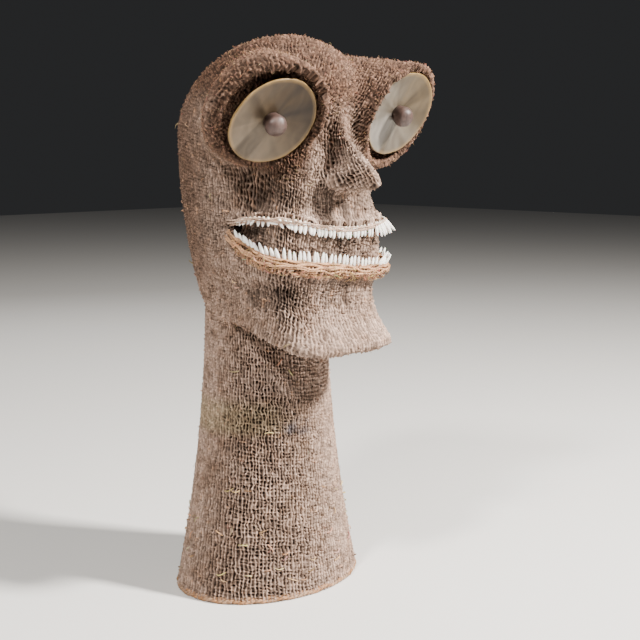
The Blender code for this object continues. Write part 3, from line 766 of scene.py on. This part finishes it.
def gather(parts):
    """Joins lists of (points, faces, colours) into one."""
    verts, faces, colours, count = [], [], [], 0
    for some, shapes, tints in parts:
        verts.append(some)
        faces.extend([tuple(int(i) + count for i in shape) for shape in shapes])
        colours.append(tints)
        count += len(some)
    return np.concatenate(verts), faces, np.concatenate(colours)


# Cords of the lips: the angle at which each lies round its lip, and its radius.
UPPER_CORDS = ((-72, 0.00105), (-46, 0.00095), (-18, 0.00085))
LOWER_CORDS = ((80, 0.00100), (58, 0.00115), (34, 0.00110), (10, 0.00100), (-14, 0.00090))
UPPER_CORD_TINT = np.array([0.500, 0.350, 0.265])
LOWER_CORD_TINT = np.array([0.460, 0.265, 0.150])
CREASE_SHADE_TINT = np.array([0.100, 0.050, 0.030])
UPPER_WANDER = 0.0005
LOWER_WANDER = 0.0016
LIP_MARKS = 150
LIP_SPACING = 0.0010
LIP_TURN = 0.0062
CORD_SIDES = 8


def soft_walks(count, rounds):
    """Two rows of chance values, smoothed along their length and joined at the ends."""
    walks = RANDOM.normal(0, 1, (2, count))
    for _ in range(rounds):
        walks = (np.roll(walks, 1, 1) + 2 * walks + np.roll(walks, -1, 1)) / 4
    return walks


def lip_cord(angle, radius, upper, wander_by):
    """One cord's path from corner to corner along a lip."""
    reach = MOUTH_REACH - 0.001
    wander = soft_walks(LIP_MARKS, 8)
    path = []
    for walk, aside, off in zip(np.linspace(-reach, reach, LIP_MARKS), wander[0], wander[1]):
        turn = math.radians(angle) + 0.45 * aside
        if upper:
            away = UPPER_LIP_RADIUS + 0.55 * radius + 0.3 * wander_by * off
            outward = away * math.cos(turn) - UPPER_LIP_INWARD
            height = upper_root(walk) + UPPER_LIP_OFF_ROOT + away * math.sin(turn)
        else:
            away = LOWER_LIP_RADIUS + 0.55 * radius + 0.3 * wander_by * off
            outward = away * math.cos(turn)
            height = lower_root(walk) - LOWER_LIP_OFF_ROOT + away * math.sin(turn)
        path.append(mouth_point(walk, outward, height))
    return evenly(path, LIP_SPACING, False)


def build_lips(material):
    """Fine cords laid along the lips, pale above and orange brown below."""
    kinds = (
        (UPPER_CORDS, True, UPPER_CORD_TINT, UPPER_WANDER),
        (LOWER_CORDS, False, LOWER_CORD_TINT, LOWER_WANDER),
    )
    parts = []
    for cords, upper, tint, wander_by in kinds:
        for i, (angle, radius) in enumerate(cords):
            path = lip_cord(angle, radius, upper, wander_by)
            verts, faces, ply = twisted_cord(path, radius, LIP_TURN, False, CORD_SIDES, start=1.7 * i)
            shade = np.repeat(cloud(path, 0.011, 11 + i + 7 * upper, 2), CORD_SIDES)[:, None]
            colours = tint * (1 + 0.45 * shade)
            # Painted shade: the groove between each cord's plies is painted darker; the cloud also darkens
            # it at random.
            crease = smoothstep(0.5, 0.0, ply)[:, None]
            depth = np.clip(0.6 * crease - 0.5 * np.minimum(shade, 0), 0, 1)
            colours += (CREASE_SHADE_TINT - colours) * depth
            parts.append((verts, faces, np.clip(colours, 0, 1)))
    verts, faces, colours = gather(parts)
    return painted("lip_cords", verts, faces, "net_tint", colours, material)


# Teeth: share of the length and fullness there, from root to tip.
TOOTH_SIDES = 9
TOOTH_PROFILE = (
    (-0.10, 0.55),
    (0.0, 0.74),
    (0.18, 0.93),
    (0.42, 1.00),
    (0.66, 0.92),
    (0.84, 0.68),
    (0.95, 0.38),
    (1.0, 0.10),
)


def tooth(base, along, broad, length, width, bend):
    """One canine: a rounded root, a full crown and a pointed tip, bent a little to one side."""
    thick = along.cross(broad).normalized()
    broad = thick.cross(along).normalized()
    verts = []
    for share, fullness in TOOTH_PROFILE:
        middle = base + along * (length * share) + broad * (bend * length * share * share)
        for turn in np.linspace(0, 2 * math.pi, TOOTH_SIDES, endpoint=False):
            reach = broad * math.cos(turn) + thick * (0.86 * math.sin(turn))
            verts.append(middle + reach * (fullness * width / 2))
    faces = []
    rows = len(TOOTH_PROFILE)
    for row in range(rows - 1):
        for i in range(TOOTH_SIDES):
            j = (i + 1) % TOOTH_SIDES
            low, high = row * TOOTH_SIDES, (row + 1) * TOOTH_SIDES
            faces.append((low + i, low + j, high + j, high + i))
    faces.append(tuple(range(TOOTH_SIDES))[::-1])
    faces.append(tuple((rows - 1) * TOOTH_SIDES + i for i in range(TOOTH_SIDES)))
    return verts, faces


TEETH_PER_ROW = 54
TEETH_REACH = 0.123
CROWD_START = 0.040
CROWD_END = 0.100
CROWD_FADE = 0.015
CROWDING = 0.88
FALLEN_TOOTH = 8
TOOTH_SEAT = 0.0010
TOOTH_TINT = np.array([0.92, 0.90, 0.85])
ROOT_TINT = np.array([0.66, 0.54, 0.40])
BINDING_TINT = np.array([0.42, 0.28, 0.18])

# Along the mouth: how far the tips lean onward, how long the teeth are and how thick.
UPPER_LEAN = ((-0.123, -0.70), (-0.100, -0.60), (-0.092, -0.12), (-0.083, 0.05), (-0.076, 0.50),
              (-0.064, 0.45), (-0.058, 0.02), (0.035, 0.02), (0.060, 0.15), (0.123, 0.55))
LOWER_LEAN = ((-0.123, -0.50), (-0.090, -0.30), (-0.050, -0.06), (0.0, 0.12), (0.050, 0.12),
              (0.090, 0.30), (0.123, 0.50))
UPPER_LENGTH = ((-0.123, 0.0062), (-0.090, 0.0074), (-0.066, 0.0078), (-0.056, 0.0100),
                (0.030, 0.0096), (0.050, 0.0130), (0.090, 0.0130), (0.123, 0.0070))
LOWER_LENGTH = ((-0.123, 0.0100), (-0.100, 0.0128), (-0.050, 0.0122), (0.0, 0.0115),
                (0.050, 0.0098), (0.090, 0.0105), (0.123, 0.0080))
UPPER_WIDTH = ((-0.123, 0.0031), (-0.066, 0.0032), (-0.056, 0.0044), (0.030, 0.0041),
               (0.050, 0.0034), (0.123, 0.0034))
LOWER_WIDTH = ((-0.123, 0.0036), (0.0, 0.0036), (0.123, 0.0034))


def along_mouth(table, walk):
    walks, values = zip(*table)
    return float(np.interp(walk, walks, values))


def tooth_places():
    """Where the teeth stand along the mouth: evenly, but crowded round the left corner."""
    walks = np.linspace(-TEETH_REACH, TEETH_REACH, 500)
    density = 1 + CROWDING * smoothstep(CROWD_START, CROWD_START + CROWD_FADE, walks) * (
        1 - smoothstep(CROWD_END - CROWD_FADE, CROWD_END, walks)
    )
    filled = np.concatenate([[0], np.cumsum((density[1:] + density[:-1]) / 2)])
    marks = (np.arange(TEETH_PER_ROW) + 0.5) / TEETH_PER_ROW * filled[-1]
    return np.interp(marks, filled, walks)


def build_teeth(name, root, way, material):
    """A row of separate teeth that lean, bunch and fan as the bound row does."""
    lean_by, long_by, wide_by = (
        (UPPER_LEAN, UPPER_LENGTH, UPPER_WIDTH) if way > 0 else (LOWER_LEAN, LOWER_LENGTH, LOWER_WIDTH)
    )
    parts = []
    for i, place in enumerate(tooth_places()):
        walk = place + RANDOM.normal(0, 0.00028)
        _, out, along_row = mouth_frame(walk)
        outward = Vector((out[0], -out[1], 0))
        onward = Vector((along_row[0], -along_row[1], 0))
        crowd = float(smoothstep(0.040, 0.060, walk) * (1 - smoothstep(0.090, 0.105, walk)))
        gap = upper_root(walk) - lower_root(walk)
        length = along_mouth(long_by, walk) + RANDOM.normal(0, 0.0006)
        length = min(length, 0.60 * gap)
        width = along_mouth(wide_by, walk) * (1 + RANDOM.normal(0, 0.05))
        lean = along_mouth(lean_by, walk) + RANDOM.normal(0, 0.07)
        jut = 0.10 + (0.50 if way > 0 else 0.42) * crowd + RANDOM.normal(0, 0.05 + 0.18 * crowd)
        along = (Vector((0, 0, -way)) + onward * lean + outward * jut).normalized()
        seat = root(walk) + way * TOOTH_SEAT
        stand_out = 0.0030 * crowd
        base = mouth_point(walk, TOOTH_SEAT - TOOTH_SETBACK - BINDING_DEPTH / 2 + stand_out, seat)
        if way > 0 and i == FALLEN_TOOTH:
            along = (onward - Vector((0, 0, 0.25))).normalized()
            base = base - onward * 0.004 - Vector((0, 0, 0.0030)) + outward * 0.001
        verts, faces = tooth(base, along, onward, length + TOOTH_SEAT, width, RANDOM.normal(0, 0.05))
        shade = TOOTH_TINT * (1 + RANDOM.normal(0, 0.03))
        share = np.repeat([s for s, f in TOOTH_PROFILE], TOOTH_SIDES)
        stain = smoothstep(0.22, 0.0, share)[:, None] * 0.55
        colours = shade + (ROOT_TINT - shade) * stain
        parts.append((np.array([tuple(v) for v in verts]), faces, colours))
    verts, faces, colours = gather(parts)
    return painted(name, verts, faces, "tooth_tint", np.clip(colours, 0, 1), material)


def build_bindings(material):
    """The cords that the teeth are bound to, just inside each lip."""
    parts = []
    for root, way in ((upper_root, 1), (lower_root, -1)):
        walks = np.linspace(-TEETH_REACH - 0.003, TEETH_REACH + 0.003, 150)
        inward = -TOOTH_SETBACK - BINDING_DEPTH / 2 - 0.0006
        path = [mouth_point(walk, inward, root(walk) - way * 0.0006) for walk in walks]
        verts, faces, ply = twisted_cord(evenly(path, 0.0012, False), 0.0016, 0.005, False)
        # Painted shade: the binding is painted darker in the grooves between its plies.
        parts.append((verts, faces, BINDING_TINT * (0.5 + 0.5 * ply[:, None])))
    verts, faces, colours = gather(parts)
    return painted("tooth_binding", verts, faces, "net_tint", colours, material)


def tooth_material():
    """Old dog tooth: ivory white, faintly streaked, smooth."""
    enamel = Material("tooth_enamel")
    streak = enamel.texture("Noise", Scale=900.0, Detail=2.0)
    enamel.tinted("tooth_tint", enamel.ranged(streak, 0.3, 0.7, 0.90, 1.08))
    enamel.bumped(streak, 0.15, 0.0003)
    enamel.plain({"Roughness": 0.32, "Subsurface Weight": 0.08, "Subsurface Scale": 0.002})
    return enamel.made


TOOTH = tooth_material()
lips = build_lips(NET)
upper_teeth = build_teeth("upper_tooth_row", upper_root, 1, TOOTH)
lower_teeth = build_teeth("lower_tooth_row", lower_root, -1, TOOTH)
binding = build_bindings(NET)
for piece, old, slot in (
    (lips, None, "net_over_wicker"),
    (upper_teeth, "upper_teeth", "tooth_enamel"),
    (lower_teeth, "lower_teeth", "tooth_enamel"),
    (binding, None, "net_over_wicker"),
):
    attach(piece, "root")
    if old:
        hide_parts(old)


# Eyes

SHELL_SIDES = 96
SHELL_RINGS = (0.008, 0.014, 0.021, 0.028, 0.034, 0.039, 0.0418)
# The shells' tints: nacre, grey and olive for each. Both are one nacre; the near shell's darker, browner
# tints are painted shade and the far shell's lighter, greyer ones painted reflection.
NEAR_SHELL_TINTS = np.array([[0.044, 0.027, 0.012], [0.100, 0.075, 0.050], [0.012, 0.006, 0.0015]])
FAR_SHELL_TINTS = np.array([[0.090, 0.064, 0.034], [0.165, 0.150, 0.130], [0.036, 0.020, 0.004]])
AMBER_TINT = np.array([0.250, 0.155, 0.055])


def build_shell(side, material):
    """A disc cut from pearl shell: dished, a little egg-shaped, with a thin worn edge."""
    radii = [PEG_RADIUS + SHELL_CLEARANCE, *SHELL_RINGS, SHELL_RADIUS - 0.0004, SHELL_RADIUS]
    rings = []
    phase = 0.9 if side > 0 else 2.3
    for under in (False, True):
        rows = radii if not under else radii[::-1]
        for radius in rows:
            share = radius / SHELL_RADIUS
            ring = []
            for turn in np.linspace(0, 2 * math.pi, SHELL_SIDES, endpoint=False):
                egg = 1 + SHELL_EGG * share * math.sin(turn)
                point = 1 + 0.014 * share**3 * math.cos(3 * (turn - 1.25))
                warp = 0.0007 * share**2 * math.sin(2 * turn + phase)
                warp += 0.00025 * share * math.sin(5 * turn)
                edge = 1 + 0.006 * share**8 * math.sin(3 * turn + phase)
                edge += 0.003 * share**8 * math.sin(11 * turn)
                depth = SHELL_DISH * (share**2 - 1) + warp
                if radius == SHELL_RADIUS:
                    depth -= 0.0007 if not under else -0.0005
                if under:
                    depth -= SHELL_THICKNESS - 0.0004 * share
                far = radius * edge * point
                ring.append((far * egg * math.cos(turn), far * math.sin(turn), depth))
            rings.append(ring)
    place = eye_frame(side)
    verts = [place @ Vector(p) for ring in rings for p in ring]
    faces = []
    count = len(rings)
    for row in range(count):
        low, high = row * SHELL_SIDES, (row + 1) % count * SHELL_SIDES
        for i in range(SHELL_SIDES):
            j = (i + 1) % SHELL_SIDES
            faces.append((low + i, high + i, high + j, low + j))
    local = np.array([p for ring in rings for p in ring])
    away = np.hypot(local[:, 0], local[:, 1]) / SHELL_RADIUS
    turn = np.arctan2(local[:, 1], local[:, 0])
    nacre, reflection_grey, olive = NEAR_SHELL_TINTS if side < 0 else FAR_SHELL_TINTS
    ways = np.stack([1.1 * np.cos(turn), 1.1 * np.sin(turn), 0.35 * away], axis=1)
    sector = cloud(ways, 0.55, 3 + side, 2)
    tone = cloud(local, 0.020, 3 + side, 3)
    # Painted reflection and shade: one side of each dished disc is painted lighter and greyer, the other
    # darker and olive, in sectors varied at random.
    lower = np.clip(0.5 + 0.5 * np.cos(turn + 2.4) + 0.25 * sector, 0, 1)[:, None]
    colours = nacre + (reflection_grey - nacre) * lower
    clouded_and_shaded = np.clip(0.35 + 1.10 * sector + 0.20 * tone - 0.45 * lower[:, 0], 0, 0.95)
    colours += (olive - colours) * clouded_and_shaded[:, None]
    colours += (AMBER_TINT - colours) * (0.75 * smoothstep(0.93, 1.0, away))[:, None]
    name = "left_shell_disc" if side > 0 else "right_shell_disc"
    return painted(name, verts, faces, "pearl_tint", np.clip(colours, 0, 1), material)


def pearl_material():
    """Worn nacre: layered growth lines and a soft gloss."""
    pearl = Material("pearl_shell")
    growth = {"Scale": 26.0, "Distortion": 9.0, "Detail": 3.0, "Detail Scale": 1.6}
    layers = pearl.texture("Wave", **growth)
    clouds = pearl.texture("Noise", Scale=70.0, Detail=4.0, Roughness=0.6)
    mixed = pearl.combined("ADD", layers, clouds)
    pearl.tinted("pearl_tint", pearl.ranged(mixed, 0.5, 1.6, 0.90, 1.09))
    gloss = pearl.ranged(clouds, 0.3, 0.7, 0.36, 0.50)
    pearl.links.new(gloss, pearl.shader.inputs["Roughness"])
    pearl.bumped(mixed, 0.12, 0.0004)
    pearl.plain({"Specular IOR Level": 0.22, "Coat Weight": 0.06, "Coat Roughness": 0.16})
    return pearl.made


PUPIL_SIDES = 40


def build_pupil(side, material):
    """A carved knob on its peg, rounded but not quite true, with knife marks."""
    seat = SHELL_CLEARANCE - SHELL_DISH
    foot = -PEG_LENGTH - SHELL_DISH - SHELL_THICKNESS
    profile = [(0.0002, foot), (PEG_RADIUS, foot), (PEG_RADIUS, seat)]
    for fullness, share in ((0.80, 0.0), (0.82, 0.12), (0.90, 0.24)):
        profile.append((fullness * PUPIL_RADIUS, seat + share * PUPIL_HEIGHT))
    for turn in np.radians(np.linspace(-8, 86, 14)):
        rise = 0.52 * PUPIL_HEIGHT * math.sin(turn)
        profile.append((PUPIL_RADIUS * math.cos(turn) ** 0.9, seat + 0.48 * PUPIL_HEIGHT + rise))
    place = eye_frame(side)
    sides = PUPIL_SIDES
    verts = []
    for radius, height in profile:
        for turn in np.linspace(0, 2 * math.pi, sides, endpoint=False):
            spot = Vector((radius * math.cos(turn), radius * math.sin(turn), height))
            if height > seat:
                dent = noise.noise(spot * 170 + Vector((side * 9.0, 0, 0)))
                facet = noise.noise(spot * 420 + Vector((0, side * 5.0, 0)))
                spot = spot * (1 + 0.050 * dent + 0.022 * facet)
                spot.z = max(spot.z, seat)
            verts.append(place @ spot)
    faces = [tuple(range(sides))[::-1]]
    for row in range(len(profile) - 1):
        for i in range(sides):
            j = (i + 1) % sides
            low, high = row * sides, (row + 1) * sides
            faces.append((low + i, low + j, high + j, high + i))
    faces.append(tuple((len(profile) - 1) * sides + i for i in range(sides)))
    pupil = mesh_object("left_pupil_knob" if side > 0 else "right_pupil_knob", verts, faces)
    smooth(pupil)
    pupil.data.materials.append(material)
    return pupil


def wood_material():
    """Dark purplish brown wood with fine grain and rubbed highlights."""
    wood = Material("dark_wood")
    along = (1.0, 1.0, 0.25)
    grain = wood.texture("Noise", stretch=along, Scale=700.0, Detail=4.0, Roughness=0.6)
    wear = wood.texture("Noise", Scale=160.0, Detail=3.0)
    both = wood.combined("MULTIPLY_ADD", grain, 0.5, wood.combined("MULTIPLY", wear, 0.5))
    wood.ramped(both, (0.30, (0.024, 0.012, 0.010)), (0.72, (0.095, 0.055, 0.044)))
    wood.bumped(both, 0.4, 0.0005)
    wood.plain({"Roughness": 0.52})
    return wood.made


PEARL = pearl_material()
WOOD = wood_material()
for side, name in ((-1, "right"), (1, "left")):
    shell = build_shell(side, PEARL)
    pupil = build_pupil(side, WOOD)
    for piece, old, slot in (
        (shell, name + "_eye_shell", "pearl_shell"),
        (pupil, name + "_pupil", "dark_wood"),
    ):
        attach(piece, "root")
        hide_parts(old)


# Inside of the basket


ROW_HEIGHT = 0.0045
RODS = 36
ROW_RELIEF = 0.0006


def wicker_material():
    """Bare aerial root basketry: rows of split root over upright rods."""
    wicker = Material("bare_wicker")
    rows = wicker.texture("Wave", Scale=80.0, Distortion=1.5, Detail=2.0, bands_direction="Z")
    fibre = wicker.texture("Noise", Scale=500.0, Detail=3.0)
    mixed = wicker.combined("MULTIPLY", rows, fibre)
    wicker.ramped(mixed, (0.0, (0.045, 0.024, 0.014)), (1.0, (0.240, 0.140, 0.080)))
    wicker.bumped(mixed, 0.8, 0.001)
    wicker.plain({"Roughness": 0.85})
    return wicker.made


def build_lining(mesh):
    """The inner face of the basket wall, with the rows of the weave standing out."""
    lining = link(bpy.data.objects.new("basket_inside", mesh))
    split = lining.modifiers.new("split", "SUBSURF")
    split.subdivision_type = "SIMPLE"
    split.levels = split.render_levels = 2
    applied(lining)
    points, normals = points_of(lining.data), normals_of(lining.data)
    x, forward, height = in_form(points).T
    row = np.sin(height / ROW_HEIGHT * 2 * math.pi)
    rod = np.cos(np.arctan2(x, forward) * RODS)
    push = ROW_RELIEF * row * np.sign(rod) + 0.0004 * cloud(points, 0.01, 5, 2)
    push *= smoothstep(0.0, 0.004, height)
    moved = points + normals * push[:, None]
    lining.data.vertices.foreach_set("co", moved.astype(np.float32).ravel())
    smooth(lining)
    lining.data.materials.clear()
    lining.data.materials.append(wicker_material())
    return lining


BRAID_RADIUS = 0.0020
BRAID_TURN = 0.011
BRAID_MARKS = 360
BRAID_SPACING = 0.0014
BRAID_SIDES = 12
BRAID_LOWEST = 0.0019
ROOT_TAN = np.array([0.330, 0.215, 0.140])
ROOT_ORANGE = np.array([0.360, 0.180, 0.085])
BRAID_CREASE_SHADE = np.array([0.050, 0.025, 0.015])

# How far in from the foot's edge each strand runs, and how high.
BRAID_STRANDS = ((0.0012, 0.0022), (0.0030, 0.0040), (0.0052, 0.0022))


def build_braid(material):
    """The foot's edge: loose twisted strands of bare root worked round the rim."""
    parts = []
    foot = points_of(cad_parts["wicker_body"].data)
    foot = foot[foot[:, 2] < 1e-5]
    wide = np.abs(foot[:, 0] - AXIS_X).max()
    deep = np.abs(foot[:, 1] - AXIS_Y).max()
    turns = np.linspace(0, 2 * math.pi, BRAID_MARKS, endpoint=False)
    for strand, (inset, height) in enumerate(BRAID_STRANDS):
        wander = soft_walks(BRAID_MARKS, 14)
        aside, lift = 0.0011 * wander[0], 0.0013 * wander[1]
        swell = 0.0008 * np.sin(turns * 23 + 2.1 * strand)
        path = []
        for turn, out, up, wave in zip(turns, aside, lift, swell):
            x = (wide - inset + out) * math.sin(turn)
            forward = (deep - inset + out) * math.cos(turn)
            path.append(at(x, forward, max(height + up + wave, BRAID_LOWEST)))
        path = evenly(path, BRAID_SPACING, True)
        verts, faces, ply = twisted_cord(path, BRAID_RADIUS, BRAID_TURN, True, BRAID_SIDES, 2 * strand)
        mottle = cloud(path, 0.012, 20 + strand, 2)
        share = np.clip(0.5 + 0.9 * mottle, 0, 1)[:, None]
        speckle = (1 + 0.3 * cloud(path, 0.005, 30 + strand, 1))[:, None]
        shade = (ROOT_TAN + (ROOT_ORANGE - ROOT_TAN) * share) * speckle
        shade = np.repeat(shade, BRAID_SIDES, axis=0)
        # Painted shade: the grooves between the braid's plies are painted darker.
        crease = smoothstep(0.55, 0.0, ply)[:, None]
        parts.append((verts, faces, np.clip(shade + (BRAID_CREASE_SHADE - shade) * 0.8 * crease, 0, 1)))
    verts, faces, colours = gather(parts)
    return painted("foot_braid", verts, faces, "net_tint", colours, material)


# Loose fibres and strands

# Kinds of loose fibre. Stand is how far the free end lifts, level how far the fibre may point up
# or down, and spread how much its shade varies.
FIBRE_KINDS = {
    "fuzz": {
        "count": 3600, "length": 0.0030, "radius": 0.00022, "sides": 3, "steps": 4,
        "stand": (0.0, 0.5), "level": 1.0, "tint": np.array([0.220, 0.122, 0.074]), "spread": 0.35,
    },
    "lip_fibres": {
        "count": 420, "length": 0.0080, "radius": 0.00042, "sides": 5, "steps": 5,
        "stand": (0.0, 0.16), "level": 0.35, "tint": np.array([0.430, 0.250, 0.140]), "spread": 0.30,
    },
    "bare_strands": {
        "count": 150, "length": 0.0095, "radius": 0.00062, "sides": 6, "steps": 6,
        "stand": (0.0, 0.03), "level": 0.25, "tint": np.array([0.420, 0.260, 0.150]), "spread": 0.30,
    },
}


def bent_strand(start, along, lift, length, radius, sides, steps, bend):
    """A short tapered strand that leaves the surface, bends over and ends free."""
    across = np.cross(along, lift)
    shares = np.linspace(0, 1, steps + 1)
    line = start + np.outer(shares * length, along) + np.outer(np.sin(shares * math.pi) * bend[0], lift)
    line += np.outer(shares**2 * bend[1], across) + np.outer(shares * bend[2], lift)
    around = np.linspace(0, 2 * math.pi, sides, endpoint=False)
    reach = radius * (1 - 0.75 * shares**2)
    ring = np.cos(around)[:, None] * across + np.sin(around)[:, None] * lift
    verts = line[:, None] + reach[:, None, None] * ring[None]
    rows = np.arange((steps + 1) * sides).reshape(steps + 1, sides)
    low, high = rows[:-1], rows[1:]
    faces = np.stack([low, np.roll(low, -1, axis=1), np.roll(high, -1, axis=1), high], axis=-1)
    return verts.reshape(-1, 3), faces.reshape(-1, 4)


def unit(vectors):
    return vectors / np.maximum(np.linalg.norm(vectors, axis=-1, keepdims=True), 1e-9)


def build_fibres(name, weight, normals, material):
    """Many short strands of one kind, more of them where the weight is greater."""
    kind = FIBRE_KINDS[name]
    length, radius = kind["length"], kind["radius"]
    chosen = RANDOM.choice(len(weight), kind["count"], replace=False, p=weight / weight.sum())
    parts = []
    for index in chosen:
        normal = unit(normals[index])
        free = RANDOM.normal(0, 1, 3)
        free[2] *= kind["level"]
        along = unit(free - normal * free.dot(normal))
        arch = RANDOM.uniform(0.1, 0.35) * length
        aside = RANDOM.normal(0, 0.22) * length
        stand = RANDOM.uniform(*kind["stand"]) * length
        size = length * RANDOM.uniform(0.6, 1.3)
        start = skin[index] - normal * radius - along * size / 2
        bend = (arch, aside, stand)
        verts, faces = bent_strand(start, along, normal, size, radius, kind["sides"], kind["steps"], bend)
        shade = kind["tint"] * (1 + RANDOM.normal(0, kind["spread"])) * (1 + 0.12 * RANDOM.normal(0, 1, 3))
        parts.append((verts, faces, np.tile(np.clip(shade, 0.01, 1), (len(verts), 1))))
    verts, faces, colours = gather(parts)
    return painted(name, verts, faces, "net_tint", colours, material)


PROUD_RISE = 0.0003


def loose_pieces(material):
    """The fuzz of the crown and hoods, the lower lip's fibres and the net's bare strands."""
    target = mesh_object("spare", skin, faces.reshape(-1, 4))
    normals = normals_of(target.data)
    bpy.data.objects.remove(target)
    height = skin[:, 2]
    proud = rise > PROUD_RISE
    walk, outward = near_mouth(points)
    below = height - lower_root(walk)
    lip = (outward > -0.003) * (below > -0.011) * (below < 0.002) * (np.abs(walk) < 0.120)
    fuzz = proud * (0.10 + tufted) * (height > 0.02)
    bare = proud * (smoothstep(0.13, 0.05, height) + 0.12) * (height > 0.006) * (tufted < 0.2)
    return (
        build_fibres("fuzz", fuzz, normals, material),
        build_fibres("lip_fibres", lip * proud, normals, material),
        build_fibres("bare_strands", bare, normals, material),
    )


for piece in loose_pieces(NET):
    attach(piece, "root")


for piece in (build_lining(inner), build_braid(NET)):
    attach(piece, "root")


# Ground, light and camera

CAMERA_PLACE = (-0.775, 0.8514, 0.437)
CAMERA_PITCH = math.radians(8.5)
CAMERA_TURN = math.radians(45)
CAMERA_DISTANCE_PX = 1150.0
PICTURE_PX = 640
SENSOR_WIDTH = 36.0
FLOOR_HALF_WIDTH = 6.0
LIGHT_DISTANCE = 2.0
LIT_POINT = (0, 0.05, 0.35)
WORLD_STRENGTH = 0.03


def way(turn, rise):
    """The direction towards a light: its turn to the figure's left and its rise, in degrees."""
    turn, rise = math.radians(turn), math.radians(rise)
    level = math.cos(rise)
    return Vector((level * math.sin(turn), -level * math.cos(turn), math.sin(rise)))


def area_light(name, place, target, size, power, colour=(1, 1, 1)):
    data = bpy.data.lights.new(name, "AREA")
    data.size = size
    data.energy = power
    data.color = colour
    light = link(bpy.data.objects.new(name, data))
    light.location = place
    light.rotation_euler = (Vector(target) - Vector(place)).to_track_quat("-Z", "Y").to_euler()


def stage():
    tools = bmesh.new()
    bmesh.ops.create_grid(tools, x_segments=1, y_segments=1, size=FLOOR_HALF_WIDTH)
    mesh = bpy.data.meshes.new("floor")
    tools.to_mesh(mesh)
    tools.free()
    floor = link(bpy.data.objects.new("floor", mesh))
    ground = Material("floor")
    ground.plain({"Base Color": (0.72, 0.71, 0.69, 1), "Roughness": 0.8})
    floor.data.materials.append(ground.made)
    world = bpy.data.worlds.new("studio")
    bpy.context.scene.world = world
    world.use_nodes = True
    background = world.node_tree.nodes["Background"]
    background.inputs["Color"].default_value = (0.80, 0.82, 0.85, 1)
    background.inputs["Strength"].default_value = WORLD_STRENGTH
    middle = at(*LIT_POINT)
    key_place = middle + LIGHT_DISTANCE * way(28, 38)
    second_place = middle + LIGHT_DISTANCE * way(-72, 44)
    area_light("key", key_place, middle, 0.22, 185, (1.0, 0.95, 0.89))
    area_light("second", second_place, middle, 0.26, 58, (1.0, 0.96, 0.91))
    area_light("back", at(0.7, -1.6, 1.3), middle, 1.2, 8)


def camera():
    data = bpy.data.cameras.new("camera")
    data.sensor_width = SENSOR_WIDTH
    data.lens = CAMERA_DISTANCE_PX / PICTURE_PX * data.sensor_width
    made = link(bpy.data.objects.new("camera", data))
    x, forward, height = CAMERA_PLACE
    made.location = at(x, forward, height)
    heading = Vector((math.cos(CAMERA_TURN), math.sin(CAMERA_TURN), 0))
    look = heading * math.cos(CAMERA_PITCH) - Vector((0, 0, math.sin(CAMERA_PITCH)))
    made.rotation_euler = look.to_track_quat("-Z", "Y").to_euler()
    bpy.context.scene.camera = made


stage()
camera()
